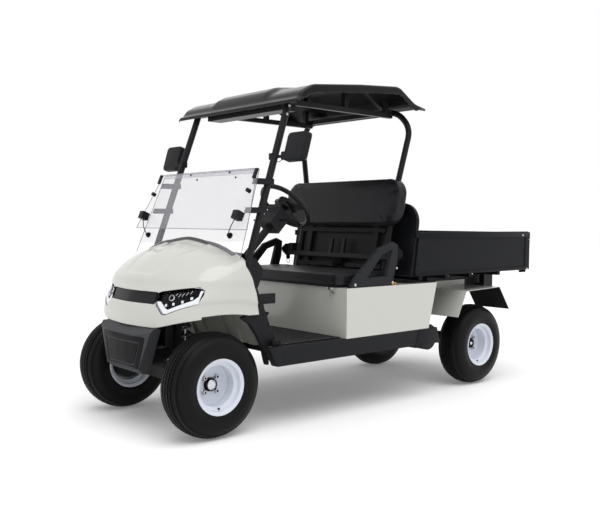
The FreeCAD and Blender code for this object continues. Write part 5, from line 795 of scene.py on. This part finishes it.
LAMP_OUTLINE = ((221, 668), (219, 712), (246, 722), (390, 745), (430, 750), (452, 732), (453, 709),
                (446, 669), (302, 609), (277, 610), (232, 649))
GRILLE_OUTLINE = ((-222, 657), (222, 657), (222, 717), (-222, 717))
COWL_REAR = ((0.933, 0.3), (0.933, 0.585), (0.9865, 0.8417), (1.040, 0.970), (1.040, 1.2))
COWL_LIP = ((-0.6, 0.600), (-0.480, 0.600), (-0.240, 0.541), (0.240, 0.541), (0.480, 0.600), (0.6, 0.600))
ARCH_CENTRE, ARCH_RADIUS, ARCH_OUT, ARCH_STEPS, ARCH_STEP = Vector((1.150, 0, -0.212)), 0.826, 0.456, 8, 2
STRUT_EDGE, STRUT_OUT, STRUT_ROOM = ((0.930, 0.690), (0.990, 0.846), (0.952, 0.960)), 0.428, 0.0205


def along_line(line, at):
    """The height of a bent line over a place."""
    for (low, first), (high, second) in zip(line, line[1:]):
        if low <= at <= high:
            return first + (second - first) * (at - low) / (high - low)
    return None


def cowl_gone(spot):
    """Whether a point of the cowl's surface is cut away."""
    rear = along_line([(high, ahead) for ahead, high in COWL_REAR], spot.z)
    strut = along_line([(high, ahead) for ahead, high in STRUT_EDGE], spot.z)
    if spot.x < (rear or 1) or spot.z < (along_line(COWL_LIP, spot.y) or 0):
        return True
    if strut and abs(spot.y) > STRUT_OUT and spot.x < strut + STRUT_ROOM:
        return True
    if abs(spot.y) > ARCH_OUT and math.hypot(spot.x - ARCH_CENTRE.x, spot.z - ARCH_CENTRE.z) < ARCH_RADIUS:
        return True
    openings = (in_metres(GRILLE_OUTLINE), in_metres(LAMP_OUTLINE), in_metres(LAMP_OUTLINE, -1))
    return spot.x >= OPENINGS_FROM and any(within(opening, (spot.y, spot.z)) for opening in openings)


cowl = bmesh.new()
turns = [COWL_SHARES[0][0] + (1 - COWL_SHARES[0][0]) * row / COWL_ROWS for row in range(COWL_ROWS + 1)]
steps = [2 * step / COWL_STEPS - 1 for step in range(COWL_STEPS + 1)]
draped(cowl, turns, steps, cowl_place)
bmesh.ops.recalc_face_normals(cowl, faces=cowl.faces[:])
cowl.normal_update()
for vert in cowl.verts:
    spot = vert.co.copy()
    fade = ease((spot.z - CREASE_FADE[0]) / CREASE_FADE[1])
    vert.co += vert.normal * CREASE_RISE * (crease(spot) - 1) * fade
    over_arch = spot.z - ARCH_CENTRE.z - math.sqrt(ARCH_RADIUS ** 2 - (spot.x - ARCH_CENTRE.x) ** 2)
    on_side = ease((abs(spot.y) - FLARE_SIDE[0]) / FLARE_SIDE[1])
    near_arch = ease((FLARE_HIGH - over_arch) / FLARE_RAMP)
    vert.co += vert.normal * FLARE_RISE * (on_side * near_arch)
cowl_tree = BVHTree.FromBMesh(cowl)
for line, room, near in ((COWL_REAR, 0, lambda spot: spot.x < OPENINGS_FROM),
                         (STRUT_EDGE, STRUT_ROOM, lambda spot: spot.x < OPENINGS_FROM and abs(spot.y) > 0.4)):
    for (x1, z1), (x2, z2) in zip(line, line[1:]):
        score(cowl, (x1 + room, 0, z1), (z2 - z1, 0, x1 - x2), near)
for (y1, z1), (y2, z2) in zip(COWL_LIP, COWL_LIP[1:]):
    score(cowl, (0, y1, z1), (0, z2 - z1, y1 - y2), lambda spot: spot.z < LIP_BELOW)
for side in SIDES:
    score(cowl, (0, side * STRUT_OUT, 0), (0, 1, 0), lambda spot: spot.x < NOSE_FROM and 0.68 < spot.z < 0.98)
    score(cowl, (0, side * ARCH_OUT, 0), (0, 1, 0), lambda spot: spot.z < LIP_BELOW)
    score_outline(cowl, in_metres(LAMP_OUTLINE, side))
for step in range(-ARCH_STEPS, ARCH_STEPS + 1):
    swing = math.radians(ARCH_STEP * step)
    facing = Vector((math.sin(swing), 0, math.cos(swing)))
    rim = ARCH_CENTRE + ARCH_RADIUS * facing
    score(cowl, rim, facing,
          lambda spot: (abs(spot.y) > ARCH_OUT - 0.01 and abs(spot.x - rim.x) < 0.03
                        and spot.z < LIP_BELOW + 0.02))
score_outline(cowl, in_metres(GRILLE_OUTLINE))
gone = [face for face in cowl.faces if cowl_gone(face.calc_center_median())]
bmesh.ops.delete(cowl, geom=gone, context="FACES")
wear(body_cream, "front_cowl")
shell = put("cowl_shell", cowl, body_cream, "chassis", sharp=50, stands_for=("front_cowl",),
            turn_out=False)
wall = shell.modifiers.new("wall", "SOLIDIFY")
wall.thickness, wall.offset = COWL_WALL, -1

# Black plastic backs the grille's opening, and a soft grey seal runs over the
# cowl's rear edge, under the windscreen.
grille_grey = finish("grille_grey", (0.010, 0.0105, 0.012), 0.36, grain=900, relief=0.1, level=0.14)
wear(grille_grey, "grille")
seal_grey = finish("seal_grey", (0.080, 0.083, 0.088), 0.45, grain=600, relief=0.15, level=0.25)
SEAL_RADIUS, SEAL_OUT, SEAL_REAR, SEAL_PROUD, SEAL_STEPS = 0.0125, 0.410, 1.036, 0.45, 7
BACKWARD = Vector((-1, 0, 0))


def on_cowl(out, high, sink=0.0):
    """The point of the cowl's surface straight ahead of a place, sunk below the skin, and its normal."""
    spot, normal, _, _ = cowl_tree.ray_cast(Vector((2, out, high)), BACKWARD)
    normal = normal if normal.x > 0 else -normal
    return spot - normal * sink, normal


mesh, route = bmesh.new(), []
for step in range(-SEAL_STEPS, SEAL_STEPS + 1):
    spot, _, _, _ = cowl_tree.ray_cast(Vector((SEAL_REAR, SEAL_OUT * step / SEAL_STEPS, 1.3)), -UP)
    route.append(spot + UP * SEAL_RADIUS * SEAL_PROUD)
bar(mesh, route, SEAL_RADIUS, order=4, sides=4)
put("cowl_seal", mesh, seal_grey, "chassis")

# Each headlamp is a black cup behind a clear lens, with a lit white bar along
# its lower edges, a projector, four small light blocks and bright fins.
LAMP_CELL, LAMP_DEEP, LAMP_BACK, BAR_SINK = 0.005, 0.020, 0.002, 0.010
BAR_OUTLINE = ((230, 671), (235, 652), (279, 616), (301, 614), (441, 672), (447, 708), (441, 731), (431, 734),
               (433, 703), (419, 684), (304, 634), (284, 643), (248, 672))
BAR_TRIM = ((221, 668), (232, 649), (277, 610), (302, 609), (446, 669), (453, 709), (447, 734), (441, 731),
            (447, 708), (441, 672), (301, 614), (279, 616), (235, 652), (230, 671))
CUP_INSIDE = ((224, 671), (223, 710), (246, 718), (390, 741), (429, 746), (448, 730), (450, 709), (443, 671),
              (301, 612), (278, 613), (234, 651))
PROJECTOR = (307, 699)
LIGHT_BLOCKS = ((285, 659), (330, 668), (377, 681), (415, 699))
BLOCK_FRAME, BLOCK_LIGHT = (0.0075, 0.007), (0.0052, 0.009)
FINS = ((334, 716, 15), (352, 712, 22), (370, 716, 22), (388, 722, 20), (404, 728, 16))
FIN_HALF, FIN_DEEP, FIN_LEAN = 0.0018, 0.009, -35


def skin_patch(name, outline, side, sink, thick, material, hole=None, skin=on_cowl,
               cell_size=LAMP_CELL):
    """A piece cut from the curve of a skin, sunk below it."""
    outline = in_metres(outline, side)
    hole = in_metres(hole, side) if hole else None
    low_y, high_y, low_z, high_z = extent(outline)
    wide, tall = math.ceil((high_y - low_y) / cell_size), math.ceil((high_z - low_z) / cell_size)
    mesh = bmesh.new()
    draped(mesh, [low_y + (high_y - low_y) * cell / wide for cell in range(wide + 1)],
           [low_z + (high_z - low_z) * cell / tall for cell in range(tall + 1)],
           lambda out, high: skin(out, high, sink)[0])
    for line in filter(None, (outline, hole)):
        score_outline(mesh, line)
    gone = [face for face in mesh.faces if not within(outline, face.calc_center_median().yz)
            or (hole and within(hole, face.calc_center_median().yz))]
    bmesh.ops.delete(mesh, geom=gone, context="FACES")
    bmesh.ops.recalc_face_normals(mesh, faces=mesh.faces[:])
    if sum(face.normal.x for face in mesh.faces) < 0:
        bmesh.ops.reverse_faces(mesh, faces=mesh.faces[:])
    for vert in extruded(mesh, mesh.faces[:]):
        vert.co += skin(vert.co.y, vert.co.z)[1] * thick
    return put(name, mesh, material, "chassis")


def lamp_seat(out, high, side):
    """A place at the back of a lamp's cup, given in millimetres, and the way it faces."""
    return on_cowl(side * out / 1000, high / 1000, LAMP_DEEP - LAMP_BACK)


def lamp_block(target, seat, low, high, soften, turn=None):
    """Add a block that stands square to the cup."""
    spot, facing = seat
    block = bmesh.new()
    slab(block, low, high, soften, turn=turn)
    square = Matrix.Translation(spot) @ facing.to_track_quat("X", "Z").to_matrix().to_4x4()
    bmesh.ops.transform(block, matrix=square, verts=block.verts[:])
    join(target, block)


lamp_black = finish("lamp_black", (0.003, 0.003, 0.0045), 0.12, grain=300, relief=0.02, level=0.14)
bar_white = finish("bar_white", (0.86, 0.88, 0.92), 0.25, grain=500, relief=0.02, drift=0.02, glow=0.22)
bar_white.node_tree.nodes["Principled BSDF"].inputs["Emission Color"].default_value = (0.9, 0.93, 1.0, 1)
lens_clear = plain("lens_clear", {"Base Color": (0.02, 0.02, 0.024, 1), "Roughness": 0.03,
                                  "Specular IOR Level": 0.2, "Alpha": 0.04})
for hand, side in HANDS:
    skin_patch(f"{hand}_lamp_cup", LAMP_OUTLINE, side, LAMP_DEEP, LAMP_BACK, lamp_black)
    skin_patch(f"{hand}_lamp_wall", LAMP_OUTLINE, side, LAMP_DEEP, LAMP_DEEP - 0.0005, lamp_black,
               hole=CUP_INSIDE)
    skin_patch(f"{hand}_light_bar", BAR_OUTLINE, side, BAR_SINK, 0.0075, bar_white)
    skin_patch(f"{hand}_light_bar_trim", BAR_TRIM, side, BAR_SINK, 0.0092, chrome)
    bright, blocks, glass = bmesh.new(), bmesh.new(), bmesh.new()
    spot, facing = lamp_seat(*PROJECTOR, side)
    drum(bright, spot, facing, 0.0185, 0.006, top=0.016, soften=0.001)
    drum(glass, spot + facing * 0.005, facing, 0.0140, 0.0045, top=0.009, soften=0.0015)
    for out, high in LIGHT_BLOCKS:
        for target, (half, deep) in ((bright, BLOCK_FRAME), (blocks, BLOCK_LIGHT)):
            lamp_block(target, lamp_seat(out, high, side), (0, -half, -half), (deep, half, half), 0.001)
    lean = Matrix.Rotation(math.radians(FIN_LEAN * side), 3, "X")
    for out, high, tall in FINS:
        lamp_block(bright, lamp_seat(out, high, side), (0, -FIN_HALF, -tall / 2000),
                   (FIN_DEEP, FIN_HALF, tall / 2000), 0.0008, turn=lean)
    reflectors = put(f"{hand}_lamp_reflectors", bright, chrome, "chassis")
    put(f"{hand}_lamp_blocks", blocks, bar_white, "chassis")
    put(f"{hand}_projector", glass, lamp_black, "chassis")
    skin_patch(f"{hand}_lamp_lens", CUP_INSIDE, side, 0.0012, 0.0008, lens_clear)
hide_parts("headlamps")

# The front bumper is bowed black plastic with a smooth inset panel and frame,
# held to the rails by two lugs. A dark splash plate closes the nose behind it.
bumper_grey = finish("bumper_grey", (0.046, 0.047, 0.050), 0.5, grain=900, relief=0.3, drift=0.08, edge=0.007,
                     level=0.18)
bumper_dark = finish("bumper_dark", (0.0055, 0.0058, 0.007), 0.45, grain=900, relief=0.3, drift=0.08,
                     level=0.08)
wear(bumper_grey, "front_bumper")
FRAME_OUTLINE = ((-212, 494), (212, 494), (160, 326), (-160, 326))
FRAME_HOLE = ((-173, 466), (173, 466), (132, 344), (-132, 344))
PANEL_OUTLINE = ((-164, 459), (164, 459), (126, 351), (-126, 351))
PANEL_PROUD, PANEL_SINK, PANEL_ROUND, PANEL_CELL = 0.0022, 0.001, 16, 0.012
BUMPER_FACE, AHEAD = 1.44, Vector((1, 0, 0))
bumper_mesh = bmesh.new()
bumper_mesh.from_mesh(nodes["front_bumper"].data)
bumper_tree = BVHTree.FromBMesh(bumper_mesh)
bumper_mesh.free()


def on_bumper(out, high, sink=0.0):
    """The point of the bumper's face straight ahead of a place, and the way it faces."""
    spot, _, _, _ = bumper_tree.ray_cast(Vector((2, out, high)), BACKWARD)
    spot = spot or bumper_tree.find_nearest(Vector((BUMPER_FACE, out, high)))[0]
    return Vector((spot.x - sink, out, high)), AHEAD


def round_corners(outline, bend):
    """An outline whose corners are rounded."""
    start = tuple((Vector(outline[0]) + Vector(outline[-1])) / 2)
    return [tuple(spot) for spot in rounded([start, *outline, start], bend, steps=4)[:-1]]


SPLASH_REAR, SPLASH_FRONT, SPLASH_HALF, SPLASH_LOW, SPLASH_HIGH = 1.284, 1.330, 0.236, 0.440, 0.600
SPLASH_SHEET = 0.005
mesh = bmesh.new()
slab(mesh, (SPLASH_REAR, -SPLASH_HALF, SPLASH_LOW), (SPLASH_REAR + SPLASH_SHEET, SPLASH_HALF, SPLASH_HIGH))
slab(mesh, (SPLASH_REAR, -SPLASH_HALF, SPLASH_LOW), (SPLASH_FRONT, SPLASH_HALF, SPLASH_LOW + SPLASH_SHEET))
for side in SIDES:
    side_slab(mesh, side, (SPLASH_REAR, SPLASH_HALF - SPLASH_SHEET, SPLASH_LOW),
              (SPLASH_FRONT, SPLASH_HALF, SPLASH_HIGH), 0.002)
put("nose_splash_plate", mesh, trim_black, "chassis")
for name, outline, hole in (("bumper_frame", FRAME_OUTLINE, round_corners(FRAME_HOLE, PANEL_ROUND)),
                            ("bumper_panel", PANEL_OUTLINE, None)):
    skin_patch(name, round_corners(outline, PANEL_ROUND), 1, PANEL_SINK, PANEL_PROUD + PANEL_SINK,
               bumper_dark, hole=hole, skin=on_bumper, cell_size=PANEL_CELL)

# The dashboard, column and pedals are textured black plastic on steel, and the
# steering wheel has a firm padded rim with a stepped pad over its middle.
dash_black = finish("dash_black", (0.012, 0.0125, 0.0145), 0.5, grain=800, relief=0.35, edge=0.004,
                    level=0.15)
wheel_soft = finish("wheel_soft", (0.008, 0.008, 0.009), 0.42, grain=900, relief=0.25, level=0.2)
wear(dash_black, "dashboard", "steering_column")
wear(wheel_soft, "steering_wheel")
wear(rubber_black, "pedals")
WHEEL_CENTRE, WHEEL_LEAN = Vector((0.560, 0.250, 1.160)), Matrix.Rotation(math.radians(-45), 3, "Y")
PAD_STEPS = (((-0.050, -0.062, -0.006), (0.044, 0.062, 0.020), 0.009),
             ((-0.030, -0.040, 0.012), (0.030, 0.040, 0.026), 0.006))
mesh = bmesh.new()
for low, high, soften in PAD_STEPS:
    slab(mesh, WHEEL_CENTRE + Vector(low), WHEEL_CENTRE + Vector(high), soften, turn=WHEEL_LEAN,
         about=WHEEL_CENTRE)
put("steering_wheel_pad", mesh, wheel_soft, "steering_wheel")

# The windscreen is two sheets of clear acrylic. The upper one folds down in
# front of the lower one on a clear hinge strip with four small bolts, and a
# latch with a short link holds it down at each side.
clear_pane = plain("clear_pane", {"Base Color": (0.72, 0.72, 0.78, 1), "Roughness": 0.04, "Alpha": 0.13})
tree = clear_pane.node_tree
place = add(tree, "TexCoord").outputs["Object"]
haze = add(tree, "TexNoise", {"Vector": place}, {"Scale": 2.0})
thin = add(tree, "MapRange", {"Value": haze.outputs["Fac"]}, {"To Min": 0.11, "To Max": 0.15})
tree.links.new(thin.outputs["Result"], tree.nodes["Principled BSDF"].inputs["Alpha"])
wear(clear_pane, "windscreen_lower", "windscreen_upper")
HINGE_LOW, HINGE_HALF, HINGE_CLEAR = 1.3185, 0.436, (0.62, 0.62, 0.70, 1)


def on_hinge_strip(tree, place):
    """Whether a point lies on the hinge strip, between the struts."""
    above = add(tree, "Math", {0: place["Z"]}, {1: HINGE_LOW}, operation="GREATER_THAN")
    out = add(tree, "Math", {0: place["Y"]}, operation="ABSOLUTE")
    inward = add(tree, "Math", {0: out.outputs["Value"]}, {1: HINGE_HALF}, operation="LESS_THAN")
    return add(tree, "Math", {0: above.outputs["Value"], 1: inward.outputs["Value"]}, operation="MULTIPLY")


fitting_black, on_hinge = recoloured(trim_black, "fitting_black", HINGE_CLEAR, on_hinge_strip)
tree = fitting_black.node_tree
solid = add(tree, "MapRange", {"Value": on_hinge.outputs["Value"]}, {"To Min": 1.0, "To Max": 0.30})
tree.links.new(solid.outputs["Result"], tree.nodes["Principled BSDF"].inputs["Alpha"])
wear(fitting_black, "windscreen_fittings")
UPPER_PANE = ((1.0515, 0.540, 1.032), (0.9165, 0.452, 1.346))
LOWER_PANE = ((1.0695, 0.511, 0.890), (0.9055, 0.452, 1.341))
PANE_EDGE = 0.0017
HINGE_BOLTS = ((0.925, -0.149, 1.334), (0.925, 0.222, 1.334), (0.937, -0.069, 1.304), (0.937, 0.292, 1.304))
LATCHES = ((1.038, 0.383, 1.000), (1.040, -0.418, 0.990))
LINK_BEND, LINK_TOP, LINK_RADIUS = (0.028, 0.02, 0.030), (1.058, 0.452, 1.090), 0.0024
PANE_FACING = Vector((0.918, 0, 0.396))


def pane_bar(mesh, start, start_side, end, end_side):
    """Add a straight edge between two corners of a pane, each on its own side."""
    route = [(start[0], start_side * start[1], start[2]), (end[0], end_side * end[1], end[2])]
    bar(mesh, route, PANE_EDGE, order=2)


edges, mesh = bmesh.new(), bmesh.new()
for low, high in (UPPER_PANE, LOWER_PANE):
    for side in SIDES:
        pane_bar(edges, low, side, high, side)
    pane_bar(edges, high, -1, high, 1)
pane_bar(edges, UPPER_PANE[0], -1, UPPER_PANE[0], 1)
pane_edge = finish("pane_edge", (0.19, 0.19, 0.23), 0.2, grain=300, relief=0.02, edge=0.0004, level=0.5)
put("pane_edges", edges, pane_edge, "chassis")
for seat in HINGE_BOLTS:
    drum(mesh, Vector(seat) - PANE_FACING * 0.002, PANE_FACING, 0.0065, 0.0045, top=0.005, soften=0.001)
for seat in LATCHES:
    side = math.copysign(1, seat[1])
    seat = Vector(seat)
    drum(mesh, seat - PANE_FACING * 0.004, PANE_FACING, 0.016, 0.012, soften=0.003)
    drum(mesh, seat + PANE_FACING * 0.008, PANE_FACING, 0.010, 0.010, soften=0.003)
    bar(mesh, [seat + PANE_FACING * 0.012, seat + Vector((LINK_BEND[0], side * LINK_BEND[1], LINK_BEND[2])),
               Vector((LINK_TOP[0], side * LINK_TOP[1], LINK_TOP[2]))], LINK_RADIUS)
put("pane_latches", mesh, rubber_black, "chassis")

# Each mirror is a rounded black shell that leans with its strut, on a short arm
# from a clamp round the tube, with a thin loop under it. The glass faces back.
MIRROR_CENTRE, MIRROR_HALF = Vector((0.764, 0.583, 1.4575)), Vector((0.017, 0.078, 0.0765))
MIRROR_LEAN = Matrix.Rotation(math.radians(-16), 3, "Y")
MIRROR_ROUND, SHELL_EDGE = 0.024, 0.008
GLASS_SHARE, GLASS_BACK, GLASS_THIN, GLASS_EDGE = 0.93, -0.0164, 0.08, 0.0006
CLAMP, ARM_RADIUS, LOOP_RADIUS = Vector((0.795, 0.4265, 1.4125)), 0.0085, 0.0018
CLAMP_BOX = ((-0.020, 0.410, -0.018), (0.018, 0.443, 0.018))
SOCKET_BOX = ((0.766, 0.486, 1.392), (0.794, 0.520, 1.436))
ARM_ROUTE = ((-0.004, 0.440, 0), (-0.006, 0.470, -0.002), (-0.012, 0.520, 0))
LOOP_ROUTE = ((0, 0.446, -0.010), (0.002, 0.458, -0.030), (-0.004, 0.480, -0.030), (-0.010, 0.492, -0.014))


def from_clamp(points, side=1):
    """Points whose places ahead and up are given from the clamp's middle."""
    return [(CLAMP.x + ahead, side * out, CLAMP.z + high) for ahead, out, high in points]


mirror_glass = finish("mirror_glass", (0.75, 0.77, 0.80), 0.05, grain=60, relief=0.0, drift=0.02,
                      metallic=1.0)
shells, glasses = bmesh.new(), bmesh.new()
for side in SIDES:
    centre = Vector((MIRROR_CENTRE.x, side * MIRROR_CENTRE.y, MIRROR_CENTRE.z))
    for target, half, back, soften in ((shells, MIRROR_HALF, 0, SHELL_EDGE),
                                       (glasses, MIRROR_HALF * GLASS_SHARE, GLASS_BACK, GLASS_EDGE)):
        place = Matrix.Translation(centre) @ Matrix.Diagonal((2 * half.x, 2 * half.y, 2 * half.z, 1))
        made = bmesh.ops.create_cube(target, size=1, matrix=place)["verts"]
        if back:
            for vert in made:
                vert.co.x = centre.x + back + (vert.co.x - centre.x) * GLASS_THIN
        corners = [edge for edge in {edge for vert in made for edge in vert.link_edges}
                   if abs(edge.verts[0].co.x - edge.verts[1].co.x) > 0.5 * abs(made[0].co.x - centre.x)]
        grown = soften_edges(target, corners, MIRROR_ROUND, segments=6)
        whole = list({vert for vert in made if vert.is_valid} | set(grown))
        front_x = max(vert.co.x for vert in whole)
        rim = [edge for edge in {edge for vert in whole for edge in vert.link_edges}
               if all(abs(vert.co.x - front_x) < 1e-5 for vert in edge.verts)]
        grown = soften_edges(target, rim, soften, segments=4)
        whole = list({vert for vert in whole if vert.is_valid} | set(grown))
        bmesh.ops.rotate(target, cent=centre, matrix=MIRROR_LEAN, verts=whole)
    side_slab(shells, side, *from_clamp(CLAMP_BOX), 0.005)
    bar(shells, from_clamp(ARM_ROUTE, side), ARM_RADIUS, sides=4)
    side_slab(shells, side, *SOCKET_BOX, 0.006)
    bar(shells, from_clamp(LOOP_ROUTE, side), LOOP_RADIUS)
put("mirror_shells", shells, trim_black, "chassis", stands_for=("mirrors",))
put("mirror_glasses", glasses, mirror_glass, "chassis")

# The cargo bed is folded sheet in black texture coat, with bright pins at the
# tailgate's corners.
bed_black = finish("bed_black", (0.0085, 0.009, 0.0108), 0.45, grain=800, relief=0.3, drift=0.1, level=0.10)
wear(bed_black, "bed_floor", "bed_sides", "headboard", "headboard_panel", "tailgate")
wear(rubber_black, "bed_pads")
BED_REAR, BED_FRONT, BED_FACE, RAIL_PROUD = -1.419, -0.214, 0.5495, 0.0055
BED_RAIL, BED_FOLD = (0.981, 1.0165), (0.7505, 0.765)
BED_BOLTS = ((-0.236, 0.938), (-0.236, 0.825), (-0.236, 0.780))
BED_PINS, LATCH_PIN = ((-1.350, 0.991), (-1.408, 0.757)), (-1.441, 0.5445, 0.957)
rails, pins, latch_pins = bmesh.new(), bmesh.new(), bmesh.new()
for side in SIDES:
    out = (0, side, 0)
    for low, high in (BED_RAIL, BED_FOLD):
        side_slab(rails, side, (BED_REAR, BED_FACE, low), (BED_FRONT, BED_FACE + RAIL_PROUD, high), 0.0018)
    for ahead, high in BED_PINS:
        drum(pins, (ahead, side * (BED_FACE + 0.0005), high), out, 0.0085, 0.0075, top=0.0065, soften=0.0015)
    for ahead, high in BED_BOLTS:
        bolt(rails, (ahead, side * BED_FACE, high), out, 0.0055, 0.4)
    seat = (LATCH_PIN[0], side * LATCH_PIN[1], LATCH_PIN[2])
    drum(latch_pins, seat, out, 0.0075, 0.009, top=0.006, soften=0.0015)
put("bed_rails", rails, bed_black, "cargo_bed")
put("bed_pins", pins, zinc, "cargo_bed")
put("tailgate_latch_pins", latch_pins, zinc, "tailgate")


# The floor is a white sweep. It and the sky are brighter to rays that see them
# as the background, which leaves the cart's own light plain.
def sees_background(tree):
    """Whether a ray sees the background: straight on, in a reflection or through glass."""
    path = add(tree, "LightPath").outputs
    seen = add(tree, "Math", {0: path["Is Camera Ray"], 1: path["Is Glossy Ray"]}, operation="MAXIMUM")
    rays = {0: seen.outputs["Value"], 1: path["Is Transmission Ray"]}
    return add(tree, "Math", rays, operation="MAXIMUM").outputs["Value"]


FLOOR_SIZE, FLOOR_LIFT = 60, 0.14
bpy.ops.mesh.primitive_plane_add(size=FLOOR_SIZE, location=(0, 0, 0))
floor = bpy.context.object
floor.name = "studio_floor"
floor_white = plain("floor_white", {"Base Color": (0.97, 0.97, 0.97, 1), "Roughness": 1.0,
                                    "Specular IOR Level": 0.0, "Emission Color": (1, 1, 1, 1)})
tree = floor_white.node_tree
lift = add(tree, "MapRange", {"Value": sees_background(tree)}, {"To Max": FLOOR_LIFT})
tree.links.new(lift.outputs["Result"], tree.nodes["Principled BSDF"].inputs["Emission Strength"])
floor.data.materials.append(floor_white)

# The light is one broad soft source from the front and above, with plain light
# from all round.
SKY_LIGHT, SUN_LIGHT, SUN_SPREAD, SUN_FROM = 0.58, 1.6, 55, Vector((0.12, 0.36, 1.0))
world = bpy.context.scene.world or bpy.data.worlds.new("studio")
bpy.context.scene.world = world
world.use_nodes = True
tree = world.node_tree
background = tree.nodes["Background"]
background.inputs["Color"].default_value = (1, 1, 1, 1)
level = add(tree, "MapRange", {"Value": sees_background(tree)}, {"To Min": SKY_LIGHT, "To Max": 1.0})
tree.links.new(level.outputs["Result"], background.inputs["Strength"])
sun = bpy.data.lights.new("soft_sun", "SUN")
sun.energy, sun.angle = SUN_LIGHT, math.radians(SUN_SPREAD)
linked("soft_sun", sun).rotation_euler = (-SUN_FROM).to_track_quat("-Z", "Y").to_euler()

# The camera: the photograph's own viewing angle.
CAMERA_PLACE = Vector((3.3903, 3.5883, 1.0734))
CAMERA_YAW, CAMERA_PITCH, CAMERA_ROLL = 0.8499, -0.0513, 0.0069
PHOTO_FOCAL, PHOTO_WIDE, PHOTO_SHIFT = 777.6, 600, (1.48, -0.77)
SENSOR = 36
ahead = Vector((-math.cos(CAMERA_PITCH) * math.cos(CAMERA_YAW),
                -math.cos(CAMERA_PITCH) * math.sin(CAMERA_YAW), math.sin(CAMERA_PITCH)))
level_right = ahead.cross(UP).normalized()
level_up = level_right.cross(ahead)
turned_right = math.cos(CAMERA_ROLL) * level_right + math.sin(CAMERA_ROLL) * level_up
turned_up = math.cos(CAMERA_ROLL) * level_up - math.sin(CAMERA_ROLL) * level_right
camera_data = bpy.data.cameras.new("photo_camera")
camera_data.sensor_width = SENSOR
camera_data.lens = SENSOR * PHOTO_FOCAL / PHOTO_WIDE
camera_data.shift_x, camera_data.shift_y = PHOTO_SHIFT[0] / PHOTO_WIDE, PHOTO_SHIFT[1] / PHOTO_WIDE
camera = linked("photo_camera", camera_data)
facing = Matrix((turned_right, turned_up, -ahead)).transposed().to_4x4()
camera.matrix_world = Matrix.Translation(CAMERA_PLACE) @ facing
bpy.context.scene.camera = camera
bpy.context.scene.view_settings.view_transform = "Standard"
